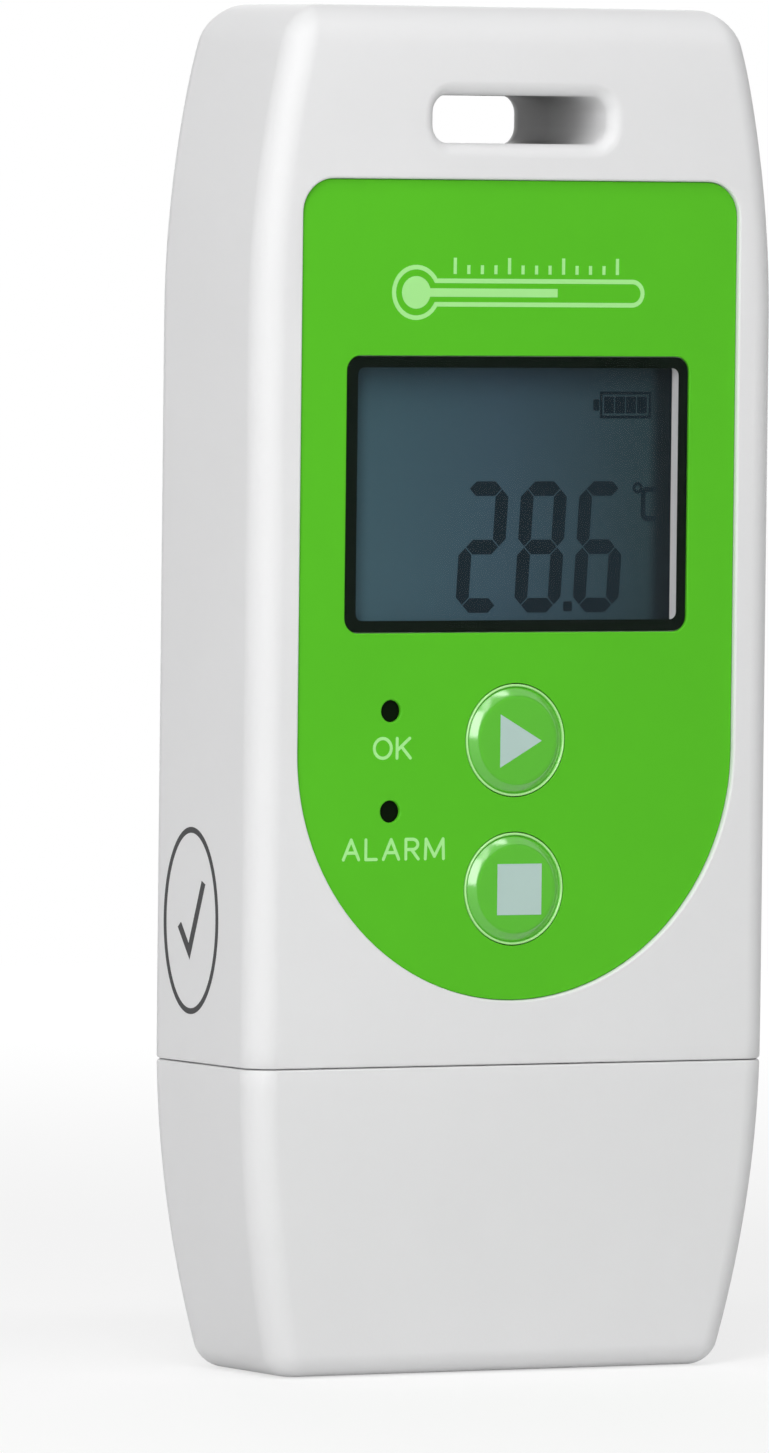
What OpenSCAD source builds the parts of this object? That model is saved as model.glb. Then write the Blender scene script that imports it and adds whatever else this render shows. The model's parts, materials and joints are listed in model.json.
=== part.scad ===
// Pocket temperature data logger with a display, two keys, a lanyard slot and a capped plug.
// It stands on the cap's end: +Z runs up the body, the front faces -Y, and the origin is
// under the middle of the body, so x = 0 and y = 0 are its middle planes.

/* [Body] */
// Overall height, from the cap's end to the top
body_h = 84; // [80:0.5:90]
// Overall width across the sides
body_w = 36.4; // [35:0.2:40]
// Overall thickness, front to back
body_d = 14; // [13.5:0.25:16]
// Radius of the four long edges
corner_r = 1.8; // [1.4:0.1:2.6]
// Rounding of the top end
top_fillet = 2.3; // [1.6:0.1:2.6]
// Rounding of the cap's end
foot_fillet = 1.4; // [0.8:0.1:2]
// How far each side draws in at the top
top_draw = 2.73; // [1:0.01:3]
// How far each side draws in at the cap's end
foot_draw = 2.67; // [1:0.01:3.2]
// Length over which the sides draw in at the top
top_draw_len = 19.2; // [15:0.1:24]
// Length over which the sides draw in at the cap's end
foot_draw_len = 20.1; // [15:0.1:26]
// How far front and back roll in at the top
top_roll = 0.45; // [0.1:0.05:0.8]
// Length over which front and back roll in at the top
top_roll_len = 5; // [3.5:0.1:5.2]
// How far front and back roll in at the cap's end
foot_roll = 1.14; // [0.2:0.02:1.4]
// Length over which front and back roll in at the cap's end
foot_roll_len = 23; // [15:0.5:23]

/* [Walls] */
// Side walls of the housing
side_wall = 2; // [1.6:0.1:2.3]
// Front wall of the housing
front_wall = 1.6; // [1.4:0.05:1.8]
// Rear cover, which is also where the two shells part
back_wall = 1.2; // [1:0.05:1.3]
// Wall between the housing and the cap
end_wall = 1.6; // [1.3:0.05:2]
// Top wall of the housing
top_wall = 2; // [1.6:0.1:2.3]
// Cap walls
cap_wall = 1.5; // [1.2:0.05:1.7]

/* [Cap and plug] */
// Height of the cap, up to the seam
cap_h = 19; // [18.6:0.1:21]
// Seam between cap and housing
seam_gap = 0.12; // [0.05:0.01:0.2]
// Length of the collar that the cap sits on
collar_h = 3.5; // [2.8:0.1:4]
// Clearance of the cap round the collar
cap_fit = 0.08; // [0.05:0.01:0.15]
// Width of the plug
plug_w = 12; // [11.8:0.05:12.2]
// Thickness of the plug
plug_t = 4.5; // [4.4:0.05:4.6]
// Length of the plug's shell
plug_len = 18.8; // [17.5:0.1:19.5]
// How far the plug stands out of the collar
plug_reach = 12; // [11.5:0.1:12.3]
// Sheet thickness of the plug's shell
plug_wall = 0.3; // [0.2:0.05:0.4]

/* [Front] */
// Margin between the overlay and the body's sides
label_side = 2.93; // [2.4:0.01:3.8]
// Distance from the top end to the overlay
label_drop = 10.65; // [10.2:0.05:12]
// Distance from the seam to the overlay
label_rise = 3.88; // [3:0.02:5]
// Radius of the overlay's two upper corners
label_corner_r = 2.1; // [1:0.1:4]
// Depth of the recess for the overlay
recess_d = 0.55; // [0.4:0.05:0.7]
// Thickness of the overlay
film_t = 0.25; // [0.15:0.05:0.3]
// Margin between the window's border and the overlay's sides
window_side = 3.28; // [2.8:0.02:4]
// Share of the room above the keys that the window takes
window_share = 0.61; // [0.55:0.005:0.68]
// Distance from the upper key's middle to the window's border
window_lift = 6.65; // [6.2:0.05:8]
// Width of the window's dark border
window_border = 0.8; // [0.5:0.05:1.2]
// Corner radius of the window
window_r = 0.9; // [0.4:0.1:1.6]
// Radius of the two keys
key_r = 3.46; // [3:0.02:3.5]
// Travel of the two keys
key_travel = 0.3; // [0.2:0.05:0.35]
// Distance from the overlay's foot to the lower key's middle
key_rise = 6.85; // [6:0.05:8]
// Distance between the two keys' middles
key_pitch = 9.14; // [8.6:0.02:9.6]
// Radius of the two indicator holes in the overlay
dot_r = 0.68; // [0.5:0.02:0.8]
// Distance of the indicators from the keys' line
dot_x = 8.7; // [7.5:0.1:9]
// How far the upper indicator stands above its key's middle
ok_rise = 1.85; // [0:0.05:3]
// How far the lower indicator stands above its key's middle
alarm_rise = 4.83; // [3:0.05:5.5]
// Width of the lanyard slot
slot_w = 12.2; // [10:0.1:13]
// Height of the lanyard slot
slot_h = 2.95; // [2.4:0.05:3.1]
// Corner radius of the lanyard slot
slot_r = 1.1; // [0.5:0.05:1.2]
// Rounding of the lanyard slot's rims
slot_fillet = 0.9; // [0.5:0.05:1]
// Distance from the top end to the middle of the slot
slot_drop = 6.92; // [6.7:0.02:7.1]

/* [Inside] */
// Thickness of the circuit board
board_t = 1; // [0.8:0.1:1.2]
// Thickness of each display glass
glass_t = 0.7; // [0.5:0.05:0.8]
// Diameter of the coin cell
cell_d = 20; // [19:0.1:20.4]
// Room under the coin cell for its spring contact
cell_lift = 0.74; // [0.7:0.02:1.2]
// How far the coin cell lies above the middle of the board's free length
cell_rise = 4; // [2:0.1:5]
// Thickness of the battery cover
door_t = 1.6; // [1.5:0.05:1.7]
// Thread diameter of the housing screws
screw_d = 2; // [1.7:0.1:2.2]
// Length of the housing screws
screw_len = 8; // [6:0.25:9]
// Side of the key switches
switch_w = 4.5; // [4:0.1:5]
// Length of the keys' stems, below their flanges
key_stem = 1.12; // [0.9:0.02:1.6]

/* [Hidden] */
$fn = 64;

// How far every cut runs past its face
overrun = 0.6;
// Gap between pieces that only lie side by side
hair = 0.03;
// Gap of a piece that slides or turns
run_gap = 0.08;

// Places up the body
top_draw_z = body_h - top_draw_len;
top_roll_z = body_h - top_roll_len;
seam_z = cap_h + seam_gap;
collar_foot = cap_h - collar_h;
cavity_foot = seam_z + end_wall;
cavity_top = body_h - top_wall;
label_top = body_h - label_drop;
label_foot = seam_z + label_rise;
slot_z = body_h - slot_drop;
plug_tip = collar_foot - plug_reach;
plug_back = plug_tip + plug_len;

// Places in depth, with the front at the lowest y
front_y = -body_d / 2;
back_y = body_d / 2;
floor_y = front_y + recess_d;
film_y = floor_y - film_t;
inner_y = front_y + front_wall;
split_y = back_y - back_wall;
board_front = -board_t / 2;
board_back = board_t / 2;

// Places on the overlay, from its foot upwards
label_w = body_w - 2 * label_side;
stop_z = label_foot + key_rise;
start_z = stop_z + key_pitch;
ok_z = start_z + ok_rise;
alarm_z = stop_z + alarm_rise;
window_foot = start_z + window_lift;
window_h = (label_top - window_foot) * window_share;
window_w = label_w - 2 * window_side;
window_z = window_foot + window_h / 2;

// Number of facets on a quarter of a rounded edge, and of slices along a curved stretch
edge_steps = 8;
slot_steps = 5;
draw_steps = 6;
round_steps = 6;
// Least radius of an edge, as a share of the long edges' radius
least_edge_share = 0.08;

// How far the body has drawn in at a height
function draw_in(z) =
  z > top_draw_z ? top_draw * pow((z - top_draw_z) / top_draw_len, 2)
  : z < foot_draw_len ? foot_draw * pow((foot_draw_len - z) / foot_draw_len, 2)
  : 0;
function roll_in(z) =
  z > top_roll_z ? top_roll * pow((z - top_roll_z) / top_roll_len, 2)
  : z < foot_roll_len ? foot_roll * pow((foot_roll_len - z) / foot_roll_len, 2)
  : 0;
function arc_in(r, t) = r - sqrt(max(0, r * r - t * t));
function end_in(z) =
  z > body_h - top_fillet ? arc_in(top_fillet, z - body_h + top_fillet)
  : z < foot_fillet ? arc_in(foot_fillet, foot_fillet - z)
  : 0;
function side_x(z) = body_w / 2 - draw_in(z);
function face_y(z) = body_d / 2 - roll_in(z);
function steps(low, high, n) = [for (i = [0 : n]) low + (high - low) * i / n];

// Heights from low to high, with those between them at which the curved stretches are sliced
function levels(low, high) = concat(
  [low],
  [
    for (z = concat(steps(0, foot_draw_len, draw_steps), steps(top_draw_z, body_h, draw_steps)))
      if (z > low + hair && z < high - hair) z
  ],
  [high]
);

// Points of a rounded rectangle, counter-clockwise, with n facets a corner
function rounded(half_w, half_d, r, n) = [
  for (c = [0 : 3], s = [0 : n])
    let (a = 90 * (c + s / n), sx = c == 0 || c == 3 ? 1 : -1, sy = c < 2 ? 1 : -1)
    [sx * (half_w - r) + r * cos(a), sy * (half_d - r) + r * sin(a)]
];

// One level section of the body, drawn in by an inset
function body_ring(z, inset = 0) =
  let (r = max(corner_r - end_in(z) - inset, corner_r * least_edge_share))
  [
    for (p = rounded(side_x(z) - end_in(z) - inset, face_y(z) - end_in(z) - inset, r, edge_steps))
      [p.x, p.y, z]
  ];

// Solid through rings that have as many points each, listed upwards
module loft(rings) {
  n = len(rings[0]);
  last = (len(rings) - 1) * n;
  sides = [
    for (k = [0 : len(rings) - 2], i = [0 : n - 1])
      let (a = k * n + i, b = k * n + (i + 1) % n)
      each [[a, a + n, b + n], [a, b + n, b]]
  ];
  foot = [for (i = [0 : n - 1]) i];
  top = [for (i = [n - 1 : -1 : 0]) last + i];
  polyhedron(points = [for (ring = rings) each ring], faces = concat([foot], sides, [top]), convexity = 6);
}

// The outer form above the seam
module housing_form() {
  fillet = [for (i = [1 : round_steps]) body_h - top_fillet * (1 - sin(90 * i / round_steps))];
  loft([for (z = concat(levels(seam_z, body_h - top_fillet), fillet)) body_ring(z)]);
}

// The outer form below the seam
module cap_form() {
  fillet = [for (i = [round_steps : -1 : 1]) foot_fillet * (1 - sin(90 * i / round_steps))];
  loft([for (z = concat(fillet, levels(foot_fillet, cap_h))) body_ring(z)]);
}

// Flat shape with true arcs at its corners
module rounded_rect(w, h, r) {
  square([w - 2 * r, h], center = true);
  square([w, h - 2 * r], center = true);
  for (sx = [-1, 1], sy = [-1, 1])
    translate([sx * (w / 2 - r), sy * (h / 2 - r)])
      circle(r = r);
}

// Extrudes a shape drawn in the front view, x across and z up, between two depths
module front_plate(y_low, y_high)
  translate([0, y_high, 0])
    rotate([90, 0, 0])
      linear_extrude(y_high - y_low)
        children();

// Box between two corners
module block(low, high)
  translate(low)
    cube(high - low);

// Round bar along the depth
module bar(x, z, r, y_low, y_high)
  translate([x, y_high, z])
    rotate([90, 0, 0])
      cylinder(r = r, h = y_high - y_low);

// Front view of the body's inside, drawn in by an inset, with its two top corners cut
module inside_shape(inset, low, high) {
  cut = top_fillet / 2;
  sides = [for (z = levels(low, high - cut)) [side_x(z) - inset, z]];
  right = concat(sides, [[side_x(high) - inset - cut, high]]);
  left = [for (i = [len(right) - 1 : -1 : 0]) [-right[i].x, right[i].y]];
  polygon(concat(right, left));
}

// Front view of the overlay: straight sides, two round corners and a semicircular foot
module label_shape(grow = 0) {
  half = label_w / 2;
  mid_z = label_foot + half;
  r = label_corner_r;
  translate([0, mid_z])
    circle(r = half + grow);
  translate([-half - grow, mid_z])
    square([2 * (half + grow), label_top - r - mid_z]);
  translate([r - half, mid_z])
    square([2 * (half - r), label_top + grow - mid_z]);
  for (side = [-1, 1])
    translate([side * (half - r), label_top - r])
      circle(r = r + grow);
}

// The window's outline, grown by a gap or drawn in by the border
module window_shape(grow)
  translate([0, window_z])
    rounded_rect(window_w + 2 * grow, window_h + 2 * grow, window_r + grow);

// Clear opening of the window in the housing
view_w = window_w - 2 * window_border;
view_h = window_h - 2 * window_border;
view_r = window_r / 2;

// Screw places: two beside the plug and two in the top corners
head_margin = 0.1;
boss_r = 1.1 * screw_d;
boss_merge = 0.2 * boss_r;
head_r = 0.9 * screw_d;
boss_low_z = cavity_foot + boss_r - boss_merge;
boss_high_z = body_h - top_fillet - head_r - boss_merge;
boss_spots = [
  for (z = [boss_low_z, boss_high_z], side = [-1, 1])
    [side * (side_x(z) - corner_r - head_r - head_margin), z]
];
head_h = 0.45 * screw_d;
head_sink = 0.06 * screw_d;

// Plug collar, which the cap slides over
collar_half_w = side_x(cap_h) - cap_wall - cap_fit;
collar_half_d = face_y(cap_h) - cap_wall - cap_fit;
collar_r = corner_r - cap_wall / 2;
collar_wall = 0.8 * cap_wall;
ring_t = 0.5;
ring_h = 0.9;
ring_rise = 1.2;
ring_proud = cap_fit / 2;

// Tunnel of the lanyard slot
tunnel_wall = 1.2;
tunnel_foot = slot_z - slot_h / 2 - tunnel_wall;

// Light pipes in the indicator holes
pipe_r = 0.9;
pipe_flange_r = 1.4;
pipe_flange_t = 0.5;
led_h = 0.7;
led_w = 1.6;
led_d = 0.8;

// Keys: domed top, guide and flange behind the front wall, and a stem down to the switch
key_dome = 0.12;
key_shoulder = 0.25;
key_flange = 0.4;
key_flange_t = 0.5;
stem_r = 1.3;
plunger_r = 1.1;
plunger_h = 0.6;
plunger_foot_r = 1.6;
plunger_foot_t = 0.4;
switch_plate_t = 0.4;
plunger_y = inner_y + run_gap + key_flange_t + key_stem;
switch_y = plunger_y + plunger_h;

// Display stack
lcd_side = 2;
lcd_w = window_w + 2 * lcd_side;
lcd_margin = 1.3;
lcd_h = window_h + 2 * lcd_margin;
lcd_ledge = 2.4;
reflector_t = 0.2;
reflector_y = inner_y + 2 * glass_t;
holder_wall = 0.8;
holder_gap = 0.1;
holder_floor_y = reflector_y + reflector_t;
holder_floor_t = 0.8;
zebra_w = 1.8;
zebra_end = 1;
zebra_len = lcd_w - 2 * zebra_end;

// Board outline: full width above the lower screw bosses, a tongue between them
board_gap = 0.5;
board_foot = plug_back + board_gap / 5;
board_step = boss_low_z + boss_r + board_gap;
board_top = tunnel_foot - board_gap;
tongue_half_w = boss_spots[1].x - boss_r - board_gap;

// Battery compartment: the cell, the skirt of its cover with three lugs, and the well
cell_z = (board_step + tunnel_foot) / 2 + cell_rise;
cell_r = cell_d / 2;
skirt_gap = 0.15;
skirt_t = 0.6;
lug_reach = 0.6;
lug_t = 0.7;
lug_angle = 28;
notch_spare = 6;
lug_turn = 50;
ledge_t = 0.8;
door_lap = 1.35;
well_wall = 1;
skirt_in = cell_r + skirt_gap;
skirt_out = skirt_in + skirt_t;
lug_r = skirt_out + lug_reach;
ledge_r = skirt_out + run_gap;
door_r = ledge_r + door_lap;
well_in = lug_r + run_gap;
well_out = door_r + run_gap + well_wall;
ledge_y = back_y - door_t;
lug_y = ledge_y - ledge_t - run_gap;
skirt_foot = lug_y - lug_t;
cell_back = ledge_y - ledge_t - 2 * run_gap;
cell_front = board_back + cell_lift;
cell_t = cell_back - cell_front;
coin_slot_w = 1.7;
coin_slot_len = 13;
coin_slot_d = 0.75;
seal_r = 0.35;
seal_mid_r = (ledge_r + door_r) / 2;
seal_y = ledge_y + seal_r + hair / 2;

// Gasket in the rim between the two shells
gasket_w = 0.7;
gasket_d = 0.5;
gasket_land = 0.4;
gasket_foot = seam_z + (end_wall - gasket_w) / 2;
gasket_top = cavity_top + gasket_land / 2 + gasket_w;
gasket_in = side_wall - gasket_land;

// Cutter of the lanyard slot, with rounded rims at the front and at the back
module slot_cutter() {
  half_w = slot_w / 2;
  half_h = slot_h / 2;
  f = slot_fillet;
  angles = steps(90, 0, slot_steps);
  front = [for (a = angles) [back_y + f * (1 - sin(a)) - body_d, f - f * cos(a)]];
  depths = concat([[front_y - overrun, f]], front);
  rings = concat(depths, [for (i = [len(depths) - 1 : -1 : 0]) [-depths[i].x, depths[i].y]]);
  rotate([-90, 0, 0])
    loft([
      for (d = rings)
        [for (p = rounded(half_w + d.y, half_h + d.y, slot_r + d.y, slot_steps)) [p.x, p.y - slot_z, d.x]]
    ]);
}

module front_housing() color([0.93, 0.93, 0.93]) difference() {
  union() {
    difference() {
      intersection() {
        housing_form();
        block([-body_w, -body_d, 0], [body_w, split_y, body_h + overrun]);
      }
      front_plate(inner_y, split_y + overrun)
        inside_shape(side_wall, cavity_foot, cavity_top);
    }
    // Collar under the end wall
    translate([0, 0, collar_foot])
      linear_extrude(collar_h + end_wall)
        collar_shape(0);
    for (spot = boss_spots)
      bar(spot.x, spot.y, boss_r, inner_y - front_wall / 4, split_y);
    // Tunnel round the lanyard slot
    front_plate(inner_y - front_wall / 4, split_y)
      translate([0, slot_z])
        rounded_rect(slot_w + 2 * tunnel_wall, slot_h + 2 * tunnel_wall, slot_r + tunnel_wall);
  }
  // Hollow of the collar
  translate([0, 0, collar_foot + collar_wall])
    linear_extrude(cavity_foot - collar_foot)
      rounded_rect(
        2 * (collar_half_w - collar_wall), 2 * (collar_half_d - collar_wall), collar_r / 2
      );
  // Opening for the plug
  block(
    [-plug_w / 2 - hair, -plug_t / 2 - hair, collar_foot - overrun],
    [plug_w / 2 + hair, plug_t / 2 + hair, cavity_foot]
  );
  // Groove of the collar's ring
  translate([0, 0, collar_foot + ring_rise])
    linear_extrude(ring_h)
      difference() {
        square([body_w, body_d], center = true);
        collar_shape(-ring_t);
      }
  // Recess of the overlay, the window, the keys and the indicators
  front_plate(front_y - overrun, floor_y)
    label_shape(hair);
  front_plate(front_y, inner_y + overrun)
    translate([0, window_z])
      rounded_rect(view_w, view_h, view_r);
  for (z = [start_z, stop_z])
    bar(0, z, key_r + run_gap, front_y, inner_y + overrun);
  for (z = [ok_z, alarm_z])
    bar(-dot_x, z, pipe_r + hair, front_y, inner_y + overrun);
  slot_cutter();
  for (spot = boss_spots)
    bar(spot.x, spot.y, screw_d / 2 + hair, split_y - screw_len, split_y + overrun);
  // Groove of the gasket
  front_plate(split_y - gasket_d, split_y + overrun)
    gasket_shape(0);
}

// Flat ring that follows the rim of the housing
module gasket_shape(gap) difference() {
  inside_shape(gasket_in - gasket_w + gap, gasket_foot + gap, gasket_top - gap);
  inside_shape(gasket_in - gap, gasket_foot + gasket_w - gap, gasket_top - gasket_w + gap);
}

module housing_seal() color([0.2, 0.2, 0.21])
  front_plate(split_y - gasket_d + hair, split_y)
    gasket_shape(hair);

// Three sectors in a ring about the cell's axis, used for the lugs and their notches
module sectors(r_in, r_out, y_low, y_high, angle, start) {
  for (k = [0 : 2])
    translate([0, y_low, cell_z])
      rotate([-90, 0, 0])
        rotate([0, 0, start + 120 * k - angle / 2])
          rotate_extrude(angle = angle)
            translate([r_in, 0])
              square([r_out - r_in, y_high - y_low]);
}

module rear_cover() color([0.93, 0.93, 0.93]) difference() {
  union() {
    intersection() {
      housing_form();
      block([-body_w, split_y, 0], [body_w, body_d, body_h + overrun]);
    }
    // Well of the battery, down to the board, clear of the side walls and of the slot's tunnel
    intersection() {
      bar(0, cell_z, well_out, board_back + hair, split_y + back_wall / 2);
      block([-cover_half_w, board_back, seam_z], [cover_half_w, back_y, tunnel_foot - run_gap]);
    }
    // Ribs that centre the cover between the side walls
    for (side = [-1, 1])
      locating_rib(side);
  }
  // Seat of the cover, ledge with its notches, and the bore below
  bar(0, cell_z, door_r + run_gap, ledge_y, back_y + overrun);
  bar(0, cell_z, ledge_r, board_back - overrun, ledge_y + overrun);
  sectors(cell_r, well_in, lug_y, ledge_y + hair, lug_angle + notch_spare, lug_turn);
  bar(0, cell_z, well_in, board_back - overrun, ledge_y - ledge_t);
  slot_cutter();
  for (spot = boss_spots)
    screw_hole(spot);
}

cover_half_w = body_w / 2 - side_wall - run_gap;
rib_t = 1;
rib_h = 1.2;
module locating_rib(side) {
  x = side * cover_half_w;
  block(
    [min(x, x - side * rib_t), split_y - rib_h, board_step],
    [max(x, x - side * rib_t), split_y + back_wall / 2, top_draw_z]
  );
}

// Clearance hole with a countersunk seat, just under the cover's own surface
module screw_hole(spot) {
  top = face_y(spot.y) - head_sink;
  bar(spot.x, spot.y, screw_d / 2 + run_gap, split_y - overrun, back_y + overrun);
  translate([spot.x, top, spot.y])
    rotate([90, 0, 0])
      cylinder(r1 = head_r + hair, r2 = screw_d / 2 + hair, h = head_h);
  bar(spot.x, spot.y, head_r + hair, top, back_y + overrun);
}

module housing_screws() color([0.7, 0.71, 0.73])
  for (spot = boss_spots)
    screw(spot);

module screw(spot) {
  top = face_y(spot.y) - head_sink;
  cross_w = 0.2 * screw_d;
  cross_d = 0.35 * screw_d;
  difference() {
    union() {
      bar(spot.x, spot.y, screw_d / 2, split_y - screw_len + overrun, top - head_h / 2);
      translate([spot.x, top, spot.y])
        rotate([90, 0, 0])
          cylinder(r1 = head_r, r2 = screw_d / 2, h = head_h);
    }
    for (turn = [0, 90])
      translate([spot.x, top, spot.y])
        rotate([0, turn, 0])
          cube([screw_d, 2 * cross_d, cross_w], center = true);
  }
}

grip_t = 1;
grip_h = 9;
grip_x = 3.2;
cap_floor = 1.1 * cap_wall;
module cap() color([0.92, 0.92, 0.92]) difference() {
  cap_form();
  difference() {
    union() {
      loft([for (z = levels(cap_floor, collar_foot)) body_ring(z, cap_wall)]);
      // Mouth that the collar fills
      translate([0, 0, collar_foot - hair])
        linear_extrude(collar_h + overrun)
          collar_shape(cap_fit);
    }
    // Ribs that grip the plug
    for (side = [-1, 1], face = [-1, 1])
      grip_rib(side * grip_x, face);
  }
}

module grip_rib(x, face) {
  near = plug_t / 2 + run_gap;
  far = body_d / 2;
  block(
    [x - grip_t / 2, face > 0 ? near : -far, 0],
    [x + grip_t / 2, face > 0 ? far : -near, cap_floor + grip_h]
  );
}

module collar_seal() color([0.2, 0.2, 0.21])
  translate([0, 0, collar_foot + ring_rise + hair])
    linear_extrude(ring_h - 2 * hair)
      difference() {
        collar_shape(ring_proud);
        collar_shape(hair - ring_t);
      }

// Level section of the collar, grown by a gap
module collar_shape(grow)
  rounded_rect(2 * (collar_half_w + grow), 2 * (collar_half_d + grow), collar_r + grow);

module front_overlay() color([0.33, 0.73, 0.15])
  front_plate(film_y, floor_y)
    difference() {
      label_shape();
      window_shape(hair);
      for (z = [start_z, stop_z])
        translate([0, z])
          circle(r = key_r + run_gap);
      for (z = [ok_z, alarm_z])
        translate([-dot_x, z])
          circle(r = dot_r);
    }

mask_t = 0.25 * film_t;
module window_mask() color([0.05, 0.07, 0.06])
  front_plate(floor_y - mask_t, floor_y)
    difference() {
      window_shape(0);
      translate([0, window_z])
        rounded_rect(view_w, view_h, view_r);
    }

module window_lens() color([0.75, 0.82, 0.84, 0.4])
  front_plate(film_y, floor_y - mask_t)
    window_shape(0);

module light_pipes() color([0.08, 0.07, 0.06])
  for (z = [ok_z, alarm_z]) {
    bar(-dot_x, z, pipe_r, floor_y + hair, board_front - led_h - hair);
    bar(-dot_x, z, pipe_flange_r, inner_y, inner_y + pipe_flange_t);
  }

module key(z) {
  crown = front_y;
  flange_top = inner_y + run_gap - crown;
  dome_w = key_r - key_shoulder;
  dome_r = (dome_w * dome_w + key_dome * key_dome) / (2 * key_dome);
  translate([0, crown, z])
    rotate([-90, 0, 0])
      rotate_extrude() {
        // Domed top
        intersection() {
          square([dome_w, key_shoulder + key_dome]);
          translate([0, dome_r])
            circle(r = dome_r, $fn = 256);
        }
        // Rounded shoulder
        translate([dome_w, key_dome + key_shoulder])
          intersection() {
            circle(r = key_shoulder);
            translate([0, -key_shoulder])
              square([key_shoulder, key_shoulder]);
          }
        translate([0, key_dome + key_shoulder])
          square([key_r, flange_top + key_flange_t - key_dome - key_shoulder]);
        translate([0, flange_top])
          square([key_r + key_flange, key_flange_t]);
        translate([0, flange_top])
          square([stem_r, plunger_y - crown - flange_top]);
      }
}

module start_button() color([0.36, 0.75, 0.18]) key(start_z);
module stop_button() color([0.36, 0.75, 0.18]) key(stop_z);

plunger_foot_y = switch_y + switch_plate_t;
module plunger(z) {
  bar(0, z, plunger_r, plunger_y, plunger_foot_y + plunger_foot_t);
  bar(0, z, plunger_foot_r, plunger_foot_y, plunger_foot_y + plunger_foot_t);
}

module start_plunger() color([0.15, 0.15, 0.16]) plunger(start_z);
module stop_plunger() color([0.15, 0.15, 0.16]) plunger(stop_z);

module key_switch(z) difference() {
  block([-switch_w / 2, switch_y, z - switch_w / 2], [switch_w / 2, board_front, z + switch_w / 2]);
  bar(0, z, plunger_r + run_gap, switch_y - overrun, plunger_foot_y);
  bar(
    0, z, plunger_foot_r + run_gap, plunger_foot_y - run_gap,
    plunger_foot_y + plunger_foot_t + key_travel + run_gap
  );
}

module start_switch() color([0.7, 0.7, 0.72]) key_switch(start_z);
module stop_switch() color([0.7, 0.7, 0.72]) key_switch(stop_z);

module lcd_block(w, z_low, z_high, y_low, y_high)
  block([-w / 2, y_low, z_low], [w / 2, y_high, z_high]);

lcd_foot = window_z - lcd_h / 2;
lcd_top = window_z + lcd_h / 2;

module lcd_front_glass() color([0.42, 0.52, 0.55])
  lcd_block(lcd_w, lcd_foot, lcd_top, inner_y, inner_y + glass_t);

module lcd_rear_glass() color([0.42, 0.5, 0.52])
  lcd_block(lcd_w, lcd_foot, lcd_top - lcd_ledge, inner_y + glass_t, reflector_y);

module lcd_reflector() color([0.5, 0.56, 0.56])
  lcd_block(lcd_w, lcd_foot, lcd_top - lcd_ledge, reflector_y, reflector_y + reflector_t);

module lcd_holder() color([0.88, 0.88, 0.86]) {
  out = holder_wall + holder_gap;
  difference() {
    lcd_block(lcd_w + 2 * out, lcd_foot - out, lcd_top + out, inner_y, board_front);
    // Seat of the glass
    lcd_block(
      lcd_w + 2 * holder_gap, lcd_foot - holder_gap, lcd_top + holder_gap,
      inner_y - overrun, holder_floor_y
    );
    // Slot of the contact strip
    lcd_block(
      zebra_len + 2 * holder_gap, lcd_top - lcd_ledge + holder_gap, lcd_top, inner_y, board_front + overrun
    );
    // Hollow under the floor
    lcd_block(
      lcd_w - 2 * holder_gap, lcd_foot + holder_gap, lcd_top - lcd_ledge - holder_wall,
      holder_floor_y + holder_floor_t, board_front + overrun
    );
  }
}

module zebra_strip() color([0.25, 0.25, 0.27]) {
  mid = lcd_top - (lcd_ledge - holder_gap) / 2;
  lcd_block(zebra_len, mid - zebra_w / 2, mid + zebra_w / 2, inner_y + glass_t, board_front);
}

module circuit_board() color([0.1, 0.35, 0.18])
  front_plate(board_front, board_back)
    intersection() {
      inside_shape(side_wall + board_gap, board_foot, board_top);
      union() {
        translate([-body_w / 2, board_step])
          square([body_w, body_h]);
        translate([-tongue_half_w, 0])
          square([2 * tongue_half_w, body_h]);
      }
    }

// Chip with gull-wing leads on two or four sides, lying on the back of the board
module chip(x, z, w, l, h, leads, sides) {
  pitch = l / (leads + 1);
  lead_w = pitch / 2;
  lead_len = h / 2;
  lead_t = h / 8;
  block([x - w / 2, board_back + lead_t, z - l / 2], [x + w / 2, board_back + h, z + l / 2]);
  for (turn = sides)
    translate([x, 0, z])
      rotate([0, turn, 0])
        for (i = [1 : leads])
          translate([0, 0, -l / 2 + pitch * i - lead_w / 2])
            block([w / 2 - lead_len, board_back, 0], [w / 2 + lead_len, board_back + 2 * lead_t, lead_w]);
}

chip_z = (board_step + cell_z - well_out) / 2;
mcu_w = 7;
mcu_h = 1.4;
mcu_leads = 8;
memory_w = 3.9;
memory_l = 4.9;
memory_h = 1.5;
memory_leads = 4;
crystal_w = 3.2;
crystal_l = 1.5;
crystal_h = 0.9;
sensor_w = 2.5;
sensor_h = 0.9;
sensor_leads = 3;
part_w = 0.8;
part_l = 1.6;
part_h = 0.8;
part_rows = 3;
part_pitch = 2.2;

// Places across the board, as shares of its half width
board_half_w = body_w / 2 - side_wall - board_gap;
mcu_share = 0.225;
memory_share = -0.55;
crystal_share = 0.74;
sensor_share = 0.8;
part_share = -0.87;
mcu_x = board_half_w * mcu_share;
memory_x = board_half_w * memory_share;
crystal_x = board_half_w * crystal_share;
sensor_x = board_half_w * sensor_share;
part_x = board_half_w * part_share;

module microcontroller() color([0.12, 0.12, 0.13])
  chip(mcu_x, chip_z, mcu_w, mcu_w, mcu_h, mcu_leads, [0, 90, 180, 270]);

module memory_chip() color([0.12, 0.12, 0.13])
  chip(memory_x, chip_z, memory_w, memory_l, memory_h, memory_leads, [0, 180]);

module crystal() color([0.75, 0.75, 0.77])
  block(
    [crystal_x - crystal_l / 2, board_back, chip_z - crystal_w / 2],
    [crystal_x + crystal_l / 2, board_back + crystal_h, chip_z + crystal_w / 2]
  );

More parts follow.
